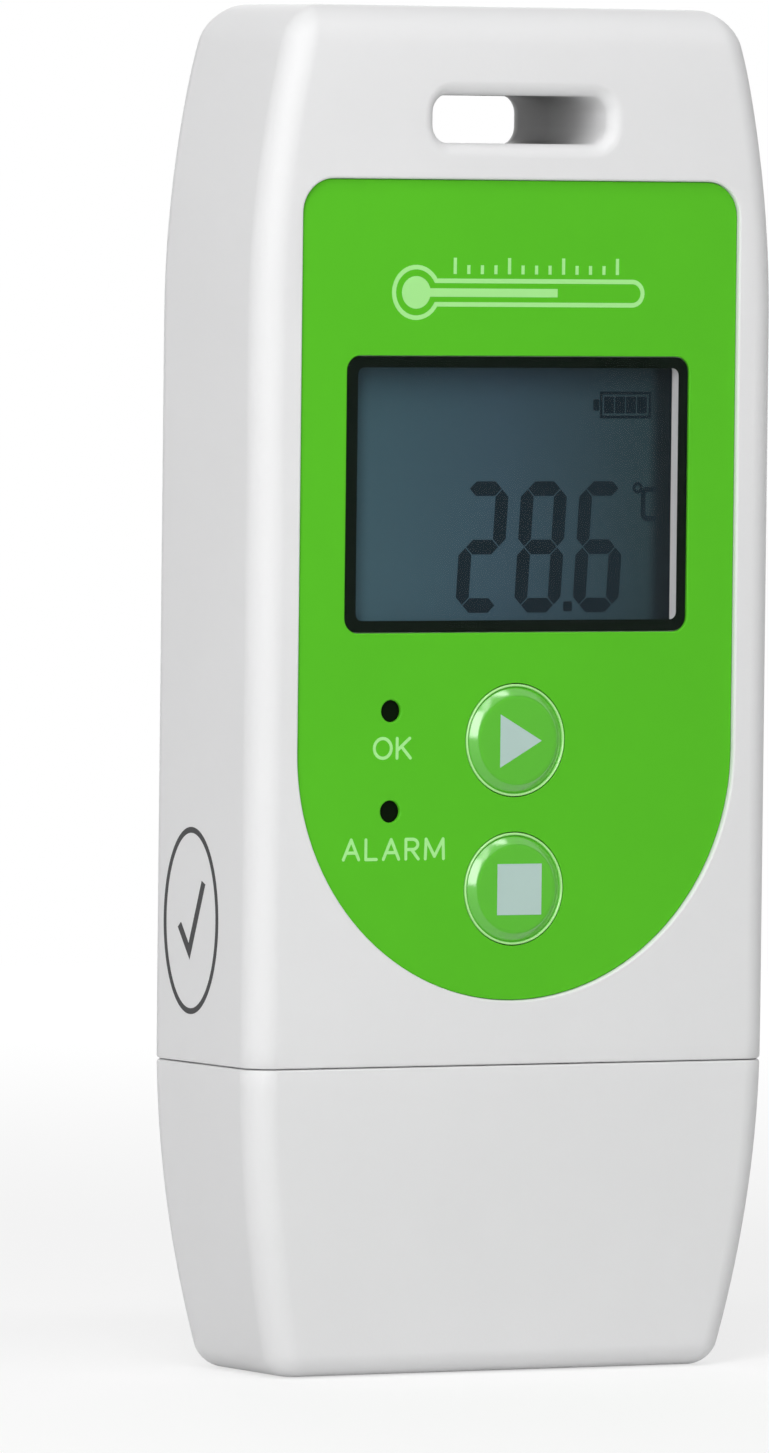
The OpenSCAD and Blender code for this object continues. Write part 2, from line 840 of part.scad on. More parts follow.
sensor_z = board_top - sensor_w;
module temperature_sensor() color([0.14, 0.14, 0.15])
  chip(sensor_x, sensor_z, sensor_w, sensor_w, sensor_h, sensor_leads, [0, 180]);

module chip_capacitors() color([0.62, 0.52, 0.4])
  for (i = [0 : part_rows - 1])
    block(
      [part_x - part_l / 2, board_back, chip_z + (i - 1) * part_pitch - part_w / 2],
      [part_x + part_l / 2, board_back + part_h, chip_z + (i - 1) * part_pitch + part_w / 2]
    );

module indicator(z)
  block(
    [-dot_x - led_w / 2, board_front - led_h, z - led_d / 2],
    [led_w / 2 - dot_x, board_front, z + led_d / 2]
  );

module ok_led() color([0.55, 0.85, 0.5]) indicator(ok_z);
module alarm_led() color([0.85, 0.4, 0.35]) indicator(alarm_z);

// Plug: sheet shell, plastic tongue against its back and four contacts on the tongue
shell_r = 0.6;
latch_w = 2.5;
latch_h = 2;
latch_x = 3;
latch_rise = 5.2;
tongue_front = 0.05;
tongue_set = 0.4;
tongue_base = 3.6;
contact_t = 0.12;
contact_w = 1;
contact_xs = [-3.5, -1, 1, 3.5];
contact_set = 1.2;
contact_lap = 1.6;

module usb_shell() color([0.8, 0.8, 0.82]) difference() {
  translate([0, 0, plug_tip])
    linear_extrude(plug_len)
      difference() {
        rounded_rect(plug_w, plug_t, shell_r);
        rounded_rect(plug_w - 2 * plug_wall, plug_t - 2 * plug_wall, shell_r - plug_wall);
      }
  for (side = [-1, 1])
    block(
      [side * latch_x - latch_w / 2, -plug_t, plug_tip + latch_rise],
      [side * latch_x + latch_w / 2, plug_t, plug_tip + latch_rise + latch_h]
    );
}

module usb_tongue() color([0.93, 0.93, 0.9]) {
  inner_w = plug_w / 2 - plug_wall - hair;
  inner_t = plug_t / 2 - plug_wall - hair;
  corner = shell_r;
  difference() {
    union() {
      block([corner - inner_w, tongue_front, plug_tip + tongue_set], [inner_w - corner, inner_t, plug_back]);
      block([corner - inner_w, -inner_t, plug_back - tongue_base], [inner_w - corner, inner_t, plug_back]);
    }
    for (x = contact_xs)
      block(
        [x - contact_w / 2 - hair, tongue_front - contact_t - hair, plug_back - tongue_base - overrun],
        [x + contact_w / 2 + hair, tongue_front, plug_back + overrun]
      );
  }
}

module usb_contacts() color([0.86, 0.7, 0.32])
  for (x = contact_xs)
    front_contact(x);

// One contact: blade on the tongue, step to the board's front and tail on the board
module front_contact(x) {
  low = x - contact_w / 2;
  high = x + contact_w / 2;
  blade_y = tongue_front - contact_t;
  tail_y = board_front - contact_t;
  step_z = plug_back;
  step_top = step_z + min(contact_t, (board_foot - plug_back) * 0.9);
  block([low, blade_y, plug_tip + contact_set], [high, tongue_front, step_top]);
  block([low, tail_y, step_z], [high, tongue_front, step_top]);
  block([low, tail_y, step_z], [high, board_front, board_foot + contact_lap]);
}

module coin_cell() color([0.78, 0.78, 0.8]) {
  rim = 0.06 * cell_t;
  bar(0, cell_z, cell_r - 2 * rim, cell_front, cell_back);
  bar(0, cell_z, cell_r, cell_front + 2 * rim, cell_back - rim);
  bar(0, cell_z, cell_r - rim, cell_front + rim, cell_back);
}

// Ring on the board that centres the cell below the cover's skirt
holder_ring_t = 0.8;
holder_top = skirt_foot - 2 * run_gap;
clip_w = 4;
clip_t = 0.3;
module battery_holder() color([0.15, 0.15, 0.16]) difference() {
  bar(0, cell_z, skirt_in + holder_ring_t, board_back, holder_top);
  bar(0, cell_z, skirt_in - hair, board_back + overrun / 3, holder_top + overrun);
  bar(0, cell_z, skirt_in - 2 * holder_ring_t, board_back - overrun, holder_top);
  // Gap for the rim contact
  block(
    [-clip_w / 2 - hair, board_back - overrun, cell_z - cell_d],
    [clip_w / 2 + hair, holder_top + overrun, cell_z]
  );
}

module battery_positive_contact() color([0.83, 0.78, 0.6]) {
  near = cell_z - skirt_in + hair;
  foot = near - clip_t - holder_ring_t / 2;
  block([-clip_w / 2, board_back, near - clip_t], [clip_w / 2, holder_top, near]);
  block([-clip_w / 2, board_back, foot], [clip_w / 2, board_back + clip_t, near]);
}

module battery_negative_contact() color([0.83, 0.78, 0.6]) {
  leaf = clip_w / 2;
  reach = cell_r / 2;
  translate([leaf / 2, 0, cell_z])
    rotate([0, -90, 0])
      linear_extrude(leaf)
        polygon([
          [-reach, board_back], [reach, board_back], [reach, board_back + clip_t],
          [clip_t - reach, board_back + clip_t], [0, cell_front - clip_t],
          [reach / 2, cell_front - clip_t], [reach / 2, cell_front],
          [-clip_t, cell_front], [-reach, board_back + 2 * clip_t]
        ]);
}

module battery_cover() color([0.91, 0.91, 0.91]) difference() {
  union() {
    bar(0, cell_z, door_r, ledge_y + hair, back_y);
    bar(0, cell_z, skirt_out, skirt_foot, ledge_y + door_t / 2);
    sectors(skirt_in, lug_r, skirt_foot, lug_y, lug_angle, 0);
  }
  bar(0, cell_z, skirt_in, skirt_foot - overrun, ledge_y - hair);
  // Groove of the ring seal
  translate([0, ledge_y - overrun, cell_z])
    rotate([-90, 0, 0])
      difference() {
        cylinder(r = seal_mid_r + seal_r + hair, h = 2 * seal_r + 2 * hair + overrun);
        cylinder(r = seal_mid_r - seal_r - hair, h = 2 * seal_r + 2 * hair + overrun);
      }
  // Slot for a coin, with round ends
  front_plate(back_y - coin_slot_d, back_y + overrun)
    translate([0, cell_z])
      rounded_rect(coin_slot_len, coin_slot_w, coin_slot_w / 2 - hair);
}

module battery_cover_seal() color([0.2, 0.2, 0.21])
  translate([0, seal_y, cell_z])
    rotate([-90, 0, 0])
      rotate_extrude()
        translate([seal_mid_r, 0])
          circle(r = seal_r);

front_housing();
rear_cover();
housing_seal();
housing_screws();
cap();
collar_seal();
front_overlay();
window_lens();
window_mask();
light_pipes();
start_button();
stop_button();
start_plunger();
stop_plunger();
start_switch();
stop_switch();
lcd_front_glass();
lcd_rear_glass();
lcd_reflector();
lcd_holder();
zebra_strip();
circuit_board();
microcontroller();
memory_chip();
crystal();
temperature_sensor();
chip_capacitors();
ok_led();
alarm_led();
usb_shell();
usb_tongue();
usb_contacts();
coin_cell();
battery_holder();
battery_positive_contact();
battery_negative_contact();
battery_cover();
battery_cover_seal();
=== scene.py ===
"""Looks of the pocket temperature data logger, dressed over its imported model.

Lengths in the modelling code are millimetres; finish_piece() turns them into metres.
The body's form follows the same named values as the part's source.
"""

import json
from math import cos, pi, radians, sin, sqrt, tan

import bmesh
import bpy
from mathutils import Matrix, Vector


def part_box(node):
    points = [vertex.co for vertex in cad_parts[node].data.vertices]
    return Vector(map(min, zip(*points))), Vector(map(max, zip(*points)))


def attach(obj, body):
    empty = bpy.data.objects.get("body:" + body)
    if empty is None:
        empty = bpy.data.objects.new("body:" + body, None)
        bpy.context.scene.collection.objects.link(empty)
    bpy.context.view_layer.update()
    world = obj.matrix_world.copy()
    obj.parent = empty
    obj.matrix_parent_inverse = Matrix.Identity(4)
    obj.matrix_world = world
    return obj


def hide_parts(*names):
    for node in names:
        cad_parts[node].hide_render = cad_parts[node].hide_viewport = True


MM = 0.001

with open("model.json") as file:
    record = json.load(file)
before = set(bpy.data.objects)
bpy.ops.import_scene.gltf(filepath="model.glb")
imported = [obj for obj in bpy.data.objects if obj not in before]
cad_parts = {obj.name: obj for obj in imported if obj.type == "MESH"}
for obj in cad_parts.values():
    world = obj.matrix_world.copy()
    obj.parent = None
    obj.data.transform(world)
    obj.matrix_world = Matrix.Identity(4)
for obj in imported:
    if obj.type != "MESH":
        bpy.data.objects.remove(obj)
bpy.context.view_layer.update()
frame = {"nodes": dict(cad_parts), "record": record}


# Sizes of the solids, as in the part's source

BODY_H, BODY_W, BODY_D = 84.0, 36.4, 14.0
CORNER_R = 1.8
TOP_FILLET, FOOT_FILLET = 2.3, 1.4
TOP_DRAW, TOP_DRAW_LEN = 2.73, 19.2
FOOT_DRAW, FOOT_DRAW_LEN = 2.67, 20.1
TOP_ROLL, TOP_ROLL_LEN = 0.45, 5.0
FOOT_ROLL, FOOT_ROLL_LEN = 1.14, 23.0
FRONT_WALL, BACK_WALL = 1.6, 1.2
SIDE_WALL, END_WALL, TOP_WALL = 2.0, 1.6, 2.0
CAP_WALL, CAP_FLOOR, CAP_FIT = 1.5, 1.65, 0.08
RIB_X, RIB_HALF, RIB_FOOT, RIB_H = 3.2, 0.5, 0.5, 9.0
COLLAR_H, COLLAR_LIP, COLLAR_WALL, COLLAR_REACH = 3.5, 0.25, 0.8 * CAP_WALL, 0.5
GROOVE_LOW, GROOVE_HIGH, GROOVE_DEPTH = 1.2, 2.1, 0.5
RECESS_D = 0.55
SLOT_W, SLOT_H, SLOT_R, SLOT_DROP, SLOT_FILLET = 12.2, 2.95, 1.1, 6.92, 0.9
TUNNEL_WALL = 1.2
BOSS_R, SCREW_R, SCREW_HEAD_R = 2.2, 1.0, 1.8
UPPER_SCREW_X = 12.908
SCREW_BORE_LEN = 8.0
LABEL_CORNER_R, WINDOW_R = 2.1, 0.9
PIPE_R, PIPE_FLANGE_R, PIPE_HOLE_R = 0.9, 1.4, 0.68
KEY_R, FLANGE_REACH, FLANGE_T, STEM_R = 3.46, 0.4, 0.5, 1.3
DOOR_R, LEDGE_DROP = 12.18, 1.6
SKIRT_R, SKIRT_IN_R = 10.75, 10.15
LUG_R, LUG_IN_R, LUG_ANGLE, LUG_DROP = 11.35, 10.3, 28, 0.88
NOTCH_IN_R, NOTCH_ANGLE, NOTCH_AT = 10, 34, 50
LUG_TURNS = (0, 120, 240)
COIN_W, COIN_H, COIN_R, COIN_DEPTH = 13.0, 1.7, 0.82, 0.75
WELL_WALL, WELL_Y = 1.0, 0.5

# Gaps of pieces that run on each other, and of pieces side by side
RUN_GAP, HAIR = 0.08, 0.03

# How far a cutter runs past what it cuts, and a union into a wall
OVER = 1.0
ROOT, WELL_ROOT = 0.4, 0.6

FRONT_Y = -BODY_D / 2
BACK_Y = BODY_D / 2
FLOOR_Y = FRONT_Y + RECESS_D
INNER_Y = FRONT_Y + FRONT_WALL
SPLIT_Y = BACK_Y - BACK_WALL
LEDGE_Y = BACK_Y - LEDGE_DROP
SLOT_Z = BODY_H - SLOT_DROP
SEAT_R = DOOR_R + RUN_GAP


# Values of the looks alone

SEAM_GAP = 0.05
SEAM_CHAMFER, SEAM_STEP, SEAM_INSET = 0.17, 0.05, 0.06
SLOT_BACK_FILLET = 2.2
BORDER_LEFT, BORDER_RIGHT, BORDER_TOP, BORDER_FOOT = 0.82, 0.62, 0.69, 0.72

# Reach of the housing's opening past the border, gaps behind the pane and round the keys
OVERHANG, PANE_GAP, KEY_GAP = 0.14, 0.01, 0.05

# Rounded edges of the front's pieces
RECESS_EDGE, FILM_EDGE, PANE_EDGE = 0.16, 0.07, 0.06
WINDOW_HOLE_EDGE, KEY_HOLE_EDGE, PIPE_HOLE_EDGE = 0.08, 0.03, 0.10

# Rims of the battery cover, its seat and its coin slot
SEAT_CHAMFER, SEAT_STEP, SEAT_STEP_DEPTH = 0.15, 0.025, 0.06
LID_EDGE = ((0.22, 0.0), (0.08, 0.05), (0.0, 0.2))
COIN_RIM = 0.12

# Countersinks of the screws
SINK_RIM_R, SINK_R, SINK_FOOT_R = 1.98, 1.83, 1.03
SINK_DROP, SINK_RIM, SINK_DEPTH = 0.12, 0.10, 0.9

# Least corner radii, and facets by what they round
LEAST_BODY_R, LEAST_COLLAR_R, LEAST_OUTLINE_R = 0.12, 0.2, 0.02
CORNER_FACETS, INNER_CORNER_FACETS = 14, 8
LID_FACETS, WELL_FACETS, KEY_FACETS, HOLE_FACETS, BORE_FACETS = 160, 128, 96, 48, 32
BODY_SLICES, LEAST_SLICE = 26, 0.3
TOP_STEPS, FOOT_STEPS = 12, 10


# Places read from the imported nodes

def span(node):
    """Low and high corner of a node, in millimetres."""
    low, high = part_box(node)
    return low / MM, high / MM


def middle(node):
    low, high = span(node)
    return (low + high) / 2


label_low, label_high = span("front_overlay")
mask_low, mask_high = span("window_mask")
lcd_low = span("lcd_front_glass")[0]
door_low, door_high = span("battery_cover")
start_mid, stop_mid = middle("start_button"), middle("stop_button")
pipe_low, pipe_high = span("light_pipes")
shell_low, shell_high = span("usb_shell")
screw_low, screw_high = span("housing_screws")

CAP_H = span("cap")[1].z
SEAM_Z = CAP_H + SEAM_GAP
CAVITY_FOOT = SEAM_Z + END_WALL
COLLAR_FOOT = CAP_H - COLLAR_H
LABEL_HALF = label_high.x
FILM_Y = label_low.y
WINDOW_MID = (mask_low + mask_high) / 2
WINDOW_W = mask_high.x - mask_low.x
WINDOW_H = mask_high.z - mask_low.z
CELL_Z = (door_low.z + door_high.z) / 2
PIPE_X = (pipe_low.x + pipe_high.x) / 2
PIPE_SPOTS = (pipe_low.z + PIPE_FLANGE_R, pipe_high.z - PIPE_FLANGE_R)
SCREW_SPOTS = [
    (side * x, z)
    for x, z in (
        (screw_high.x - SCREW_HEAD_R, screw_low.z + SCREW_HEAD_R),
        (UPPER_SCREW_X, screw_high.z - SCREW_HEAD_R),
    )
    for side in (-1, 1)
]


# Outer form

def ease_in(z, top, top_len, foot, foot_len):
    """Parabola towards each end, from nothing to top or foot, over its length."""
    if z > BODY_H - top_len:
        return top * ((z - BODY_H + top_len) / top_len) ** 2
    if z < foot_len:
        return foot * ((foot_len - z) / foot_len) ** 2
    return 0.0


def draw_in(z):
    """How far each side has drawn in at a height."""
    return ease_in(z, TOP_DRAW, TOP_DRAW_LEN, FOOT_DRAW, FOOT_DRAW_LEN)


def roll_in(z):
    """How far front and back have rolled in at a height."""
    return ease_in(z, TOP_ROLL, TOP_ROLL_LEN, FOOT_ROLL, FOOT_ROLL_LEN)


def arc_in(r, t):
    """How far a rounding of radius r has drawn in at t of its height."""
    return r - sqrt(max(0.0, r * r - t * t))


def end_in(z):
    """How far the rounding of an end draws everything in."""
    if z > BODY_H - TOP_FILLET:
        return arc_in(TOP_FILLET, z - BODY_H + TOP_FILLET)
    if z < FOOT_FILLET:
        return arc_in(FOOT_FILLET, FOOT_FILLET - z)
    return 0.0


def rounded(half_w, half_d, r, n):
    """Points of a rounded rectangle, counter-clockwise, with n facets a corner."""
    points = []
    for corner, (sx, sy) in enumerate(((1, 1), (-1, 1), (-1, -1), (1, -1))):
        for step in range(n + 1):
            a = radians(90 * (corner + step / n))
            points.append((sx * (half_w - r) + r * cos(a), sy * (half_d - r) + r * sin(a)))
    return points


def body_ring(z, inset=0.0, n=CORNER_FACETS):
    """One level section of the body, drawn in by an inset."""
    e = end_in(z) + inset
    half_w = BODY_W / 2 - draw_in(z) - e
    half_d = BODY_D / 2 - roll_in(z) - e
    r = max(CORNER_R - e, LEAST_BODY_R)
    return [(x, y, z) for x, y in rounded(half_w, half_d, r, n)]


def spread(low, high, n):
    """Values from low to high in n equal steps."""
    return [low + (high - low) * i / n for i in range(n + 1)]


def body_levels(low, high):
    """Heights at which the curved stretches between low and high are sliced."""
    curved = spread(0, FOOT_ROLL_LEN, BODY_SLICES) + spread(BODY_H - TOP_DRAW_LEN, BODY_H, BODY_SLICES)
    inner = sorted(z for z in curved if low + LEAST_SLICE < z < high - LEAST_SLICE)
    return [low] + inner + [high]


# Mesh helpers

def loft(rings, ends=True):
    """Solid through rings that have as many points each, closed by two ends or back to its start."""
    bm = bmesh.new()
    rows = [[bm.verts.new(p) for p in ring] for ring in rings]
    n = len(rows[0])
    for low, high in zip(rows, rows[1:] if ends else rows[1:] + rows[:1]):
        for i in range(n):
            j = (i + 1) % n
            bm.faces.new((low[i], low[j], high[j], high[i]))
    if ends:
        bm.faces.new(list(reversed(rows[0])))
        bm.faces.new(rows[-1])
    bmesh.ops.recalc_face_normals(bm, faces=bm.faces)
    return bm


def front_loft(sections, ends=True):
    """Solid through outlines in the front view, each given as a depth and its (x, z) points."""
    return loft([[(x, y, z) for x, z in outline] for y, outline in sections], ends)


def slab(outline, y_low, y_high):
    """Flat solid with one outline in the front view, between two depths."""
    return front_loft([(y_low, outline), (y_high, outline)])


def level_plate(outline, z_low, z_high):
    """Flat solid with one outline seen from above, between two heights."""
    return loft([[(x, y, z) for x, y in outline] for z in (z_low, z_high)])


def rounding(edge, steps):
    """Quarter round from the face down: how deep each step lies and how far it has drawn in."""
    turned = [pi / 2 * (1 - i / steps) for i in range(steps + 1)]
    return [(edge * (1 - sin(a)), edge * (1 - cos(a))) for a in turned]


def plate(outline, y_low, y_high, edge, steps=4):
    """Flat plate between two depths, its front edge rounded; outline is a function of its growth."""
    sections = [(y_low + deep, outline(-drawn)) for deep, drawn in rounding(edge, steps)]
    return front_loft(sections + [(y_high, outline(0))])


def flared_cutter(outline, y_face, y_end, edge, steps=5):
    """Cutter from in front of a face to a depth, whose rim leaves a rounded edge."""
    sections = [(y_face - OVER, outline(edge))]
    sections += [(y_face + deep, outline(drawn)) for deep, drawn in rounding(edge, steps)]
    return front_loft(sections + [(y_end, outline(0))])


def box(low, high):
    bm = bmesh.new()
    bmesh.ops.create_cube(bm, size=1.0)
    low, high = Vector(low), Vector(high)
    size, mid = high - low, (low + high) / 2
    for v in bm.verts:
        v.co = Vector((v.co.x * size.x, v.co.y * size.y, v.co.z * size.z)) + mid
    return bm


def circle(x, z, r, n):
    """Points round a circle in the front view."""
    return [(x + r * cos(2 * pi * i / n), z + r * sin(2 * pi * i / n)) for i in range(n)]


def lathe(profile, x, z, n=KEY_FACETS):
    """Solid turned about an axis along the depth; its (radius, depth) profile ends on the axis."""
    bm = bmesh.new()
    first = bm.verts.new((x, profile[0][1], z))
    rows = [[bm.verts.new((px, y, pz)) for px, pz in circle(x, z, r, n)] for r, y in profile[1:-1]]
    last = bm.verts.new((x, profile[-1][1], z))
    for i in range(n):
        j = (i + 1) % n
        bm.faces.new((first, rows[0][i], rows[0][j]))
        bm.faces.new((last, rows[-1][j], rows[-1][i]))
        for low, high in zip(rows, rows[1:]):
            bm.faces.new((low[i], high[i], high[j], low[j]))
    bmesh.ops.recalc_face_normals(bm, faces=bm.faces)
    return bm


def bar(x, z, r, y_low, y_high, n):
    """Round bar along the depth."""
    return lathe([(0, y_low), (r, y_low), (r, y_high), (0, y_high)], x, z, n)


def ring_lathe(profile, x, z, n=KEY_FACETS):
    """Ring turned about an axis along the depth; the profile is closed and clear of the axis."""
    return front_loft([(y, circle(x, z, r, n)) for r, y in profile], ends=False)


def band(outer, inner, y_low, y_high):
    """Flat band between two outlines with as many points each."""
    return front_loft([(y_low, outer), (y_low, inner), (y_high, inner), (y_high, outer)], ends=False)


def new_object(name, data):
    obj = bpy.data.objects.new(name, data)
    bpy.context.scene.collection.objects.link(obj)
    return obj


def as_object(bm, name="solid"):
    """Puts a bmesh into an object of its own, as boolean operations need it."""
    mesh = bpy.data.meshes.new(name)
    bm.to_mesh(mesh)
    bm.free()
    return new_object(name, mesh)


def taken_back(obj):
    """Takes the bmesh out of such an object again."""
    bm = bmesh.new()
    bm.from_mesh(obj.data)
    bpy.data.objects.remove(obj)
    return bm


def combine(base, tools, operation):
    """Applies boolean operations of several solids, one after another, to an object."""
    for tool_bm in tools:
        tool = as_object(tool_bm)
        mod = base.modifiers.new("combine", "BOOLEAN")
        mod.operation = operation
        mod.solver = "MANIFOLD"
        mod.object = tool
        graph = bpy.context.evaluated_depsgraph_get()
        mesh = bpy.data.meshes.new_from_object(base.evaluated_get(graph))
        base.modifiers.clear()
        old = base.data
        base.data = mesh
        bpy.data.meshes.remove(old)
        bpy.data.objects.remove(tool)
    return base


def finish_piece(obj, name, body, slot, material=None, replaces=(), smooth=35.0, weld=0.0005):
    """Names a piece, turns it into metres, shades it, and puts it on its body.

    smooth is the least sharp angle in degrees, and weld the distance at which points merge.
    """
    if isinstance(obj, bmesh.types.BMesh):
        obj = as_object(obj)
    obj.name = name
    mesh = obj.data
    mesh.name = name
    bm = bmesh.new()
    bm.from_mesh(mesh)
    bmesh.ops.remove_doubles(bm, verts=bm.verts, dist=weld)
    bmesh.ops.dissolve_degenerate(bm, dist=weld, edges=bm.edges)
    bmesh.ops.scale(bm, vec=(MM, MM, MM), verts=bm.verts)
    for face in bm.faces:
        face.smooth = True
    for edge in bm.edges:
        if len(edge.link_faces) == 2:
            edge.smooth = edge.calc_face_angle(0.0) < radians(smooth)
    bm.to_mesh(mesh)
    bm.free()
    mod = obj.modifiers.new("flat_faces", "WEIGHTED_NORMAL")
    mod.keep_sharp = True
    mod.weight = 100
    mesh.materials.clear()
    mesh.materials.append(material or MATERIALS[slot])
    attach(obj, body)
    if replaces:
        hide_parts(*replaces)
    return obj


# Outlines in the front view, as functions of how far they have grown

def label_outline(grow=0.0):
    """Overlay: square corners with a small rounding above, a half circle below."""
    half, r = LABEL_HALF, LABEL_CORNER_R
    mid_z = label_low.z + half
    points = [((half + grow) * cos(a), mid_z + (half + grow) * sin(a)) for a in spread(pi, 2 * pi, 64)]
    for side, start in ((1, 0), (-1, 90)):
        for a in (radians(turn) for turn in spread(start, start + 90, 12)):
            points.append((side * (half - r) + (r + grow) * cos(a), label_high.z - r + (r + grow) * sin(a)))
    return points


def rect_outline(x, z, w, h, r, n=10):
    """Rounded rectangle about a place."""
    def outline(grow=0.0):
        corner = max(r + grow, LEAST_OUTLINE_R)
        return [(x + px, z + pz) for px, pz in rounded(w / 2 + grow, h / 2 + grow, corner, n)]
    return outline


def circle_outline(x, z, r, n):
    def outline(grow=0.0):
        return circle(x, z, r + grow, n)
    return outline


def sector(r_in, r_out, start, angle, n=12):
    """Points of a sector of a ring about the battery cover's axis."""
    turn = [radians(start + angle * (i / n - 0.5)) for i in range(n + 1)]
    outer = [(r_out * cos(a), CELL_Z + r_out * sin(a)) for a in turn]
    inner = [(r_in * cos(a), CELL_Z + r_in * sin(a)) for a in reversed(turn)]
    return outer + inner


def inside_border(r, over=0.0):
    """Opening inside the black border, larger by over at the right and the foot."""
    return rect_outline(
        WINDOW_MID.x + (BORDER_LEFT - BORDER_RIGHT + over) / 2,
        WINDOW_MID.z + (BORDER_FOOT - BORDER_TOP - over) / 2,
        WINDOW_W - BORDER_LEFT - BORDER_RIGHT + over,
        WINDOW_H - BORDER_TOP - BORDER_FOOT + over,
        r,
    )


window_outline = rect_outline(WINDOW_MID.x, WINDOW_MID.z, WINDOW_W, WINDOW_H, WINDOW_R)
view_outline = inside_border(WINDOW_R / 2)
opening_outline = inside_border(OVERHANG, OVERHANG)
slot_outline = rect_outline(0, SLOT_Z, SLOT_W, SLOT_H, SLOT_R)


# Materials

# Values of a noise between which clouds, streaks and patches change
CLOUDS, STREAKS, PATCHES = (0.15, 0.85), (0.25, 0.75), (0.3, 0.7)
CLOUD_SIZE, PANE_CLOUD_SIZE, LCD_CLOUD_SIZE = 9.0, 6.0, 3.0

WHITE = (0.80, 0.80, 0.805)
WHITE_ROUGHNESS = 0.56
GREEN = (0.098, 0.530, 0.018)
PRINT = (0.39, 0.85, 0.28)
SIGN = (0.46, 0.62, 0.57)

# Painted shade on the slot's walls from the front to the back: (share of the depth, brightness)
SLOT_SHADE = ((0.07, 1.0), (0.13, 0.92), (0.35, 0.55), (0.58, 0.36), (0.84, 0.36), (0.97, 1.0))

# Display glass from left to right and from foot to top, with painted shade towards its right edge and under
# the border at its top: (share of the way, colour)
LCD_LEFT, LCD_RIGHT, LCD_FOOT, LCD_TOP = -11.0, 12.2, 46.0, 62.0
LCD_TINT_AND_SHADE_ACROSS = (
    (0.0, (0.058, 0.120, 0.148)),
    (0.45, (0.049, 0.092, 0.124)),
    (0.90, (0.028, 0.054, 0.064)),
    (0.93, (0.012, 0.020, 0.025)),
    (1.0, (0.008, 0.012, 0.015)),
)
LCD_SHADE_UP = (
    (0.0, (1.05, 1.05, 1.05)),
    (0.86, (0.95, 0.95, 0.95)),
    (0.96, (0.62, 0.62, 0.64)),
    (1.0, (0.5, 0.5, 0.5)),
)


def new_material(name):
    mat = bpy.data.materials.new(name)
    mat.use_nodes = True
    tree = mat.node_tree
    shader = tree.nodes["Principled BSDF"]
    return mat, tree, shader


def add_node(tree, kind, **values):
    """New node; each value goes to the input of that name, or else to the node's own setting."""
    node = tree.nodes.new(kind)
    for key, value in values.items():
        if key in node.inputs:
            node.inputs[key].default_value = value
        else:
            setattr(node, key, value)
    return node


def place_node(tree):
    """Place on the piece, in metres."""
    return add_node(tree, "ShaderNodeTexCoord").outputs["Object"]


def place_parts(tree):
    """The three outputs of the place on the piece."""
    parts = add_node(tree, "ShaderNodeSeparateXYZ")
    tree.links.new(place_node(tree), parts.inputs["Vector"])
    return parts.outputs


def noise(tree, place, size, detail=3.0, roughness=0.5):
    """Noise whose lumps are about size millimetres wide."""
    node = add_node(tree, "ShaderNodeTexNoise", Scale=1 / (size * MM), Detail=detail, Roughness=roughness)
    tree.links.new(place, node.inputs["Vector"])
    return node.outputs["Fac"]


def ramp(tree, value, stops):
    """Colour ramp with the given (position, colour) stops."""
    node = add_node(tree, "ShaderNodeValToRGB")
    elements = node.color_ramp.elements
    while len(elements) < len(stops):
        elements.new(0.5)
    for element, (position, colour) in zip(elements, stops):
        element.position = position
        element.color = (*colour, 1.0)
    tree.links.new(value, node.inputs["Fac"])
    return node.outputs["Color"]


def remap(tree, value, low, high, new_low, new_high):
    limits = {"From Min": low, "From Max": high, "To Min": new_low, "To Max": new_high}
    node = add_node(tree, "ShaderNodeMapRange", **limits)
    tree.links.new(value, node.inputs["Value"])
    return node.outputs["Result"]


def bump(tree, shader, height, depth):
    """Bump of about depth millimetres from a height."""
    node = add_node(tree, "ShaderNodeBump", Strength=1.0, Distance=depth * MM)
    tree.links.new(height, node.inputs["Height"])
    tree.links.new(node.outputs["Normal"], shader.inputs["Normal"])


def multiply(tree, first, second):
    mix = add_node(tree, "ShaderNodeMix", data_type="RGBA", blend_type="MULTIPLY", Factor=1.0)
    tree.links.new(first, mix.inputs["A"])
    tree.links.new(second, mix.inputs["B"])
    return mix.outputs["Result"]


def shade(colour, factor):
    return tuple(c * factor for c in colour)


def vary(tree, shader, value, between, colour, dark, light, roughness, rough_by):
    """Lets colour and roughness follow a noise between two of its values."""
    low, high = between
    stops = [(low, shade(colour, dark)), (high, shade(colour, light))]
    tree.links.new(ramp(tree, value, stops), shader.inputs["Base Color"])
    rough = remap(tree, value, low, high, roughness - rough_by, roughness + rough_by)
    tree.links.new(rough, shader.inputs["Roughness"])


def moulded(name, colour, roughness, grain=0.16, depth=0.004, spread_by=0.015, rough_by=0.05,
            specular=0.5, coat=0.0, coat_roughness=0.03):
    """Moulded or printed surface: fine grain, slight colour and gloss variation."""
    mat, tree, shader = new_material(name)
    place = place_node(tree)
    cloud = noise(tree, place, CLOUD_SIZE)
    vary(tree, shader, cloud, CLOUDS, colour, 1 - spread_by, 1 + spread_by, roughness, rough_by)
    bump(tree, shader, noise(tree, place, grain, roughness=0.6), depth)
    shader.inputs["Specular IOR Level"].default_value = specular
    shader.inputs["Coat Weight"].default_value = coat
    shader.inputs["Coat Roughness"].default_value = coat_roughness
    return mat


def metal(name, colour, roughness, along=(1, 1, 40), size=0.25, depth=0.002):
    """Drawn or brushed metal with fine streaks."""
    mat, tree, shader = new_material(name)
    shader.inputs["Metallic"].default_value = 1.0
    scale = add_node(tree, "ShaderNodeMapping", Scale=tuple(1 / a for a in along))
    tree.links.new(place_node(tree), scale.inputs["Vector"])
    streaks = noise(tree, scale.outputs["Vector"], size, roughness=0.6)
    vary(tree, shader, streaks, STREAKS, colour, dark=0.9, light=1.05, roughness=roughness, rough_by=0.08)
    bump(tree, shader, streaks, depth)
    return mat


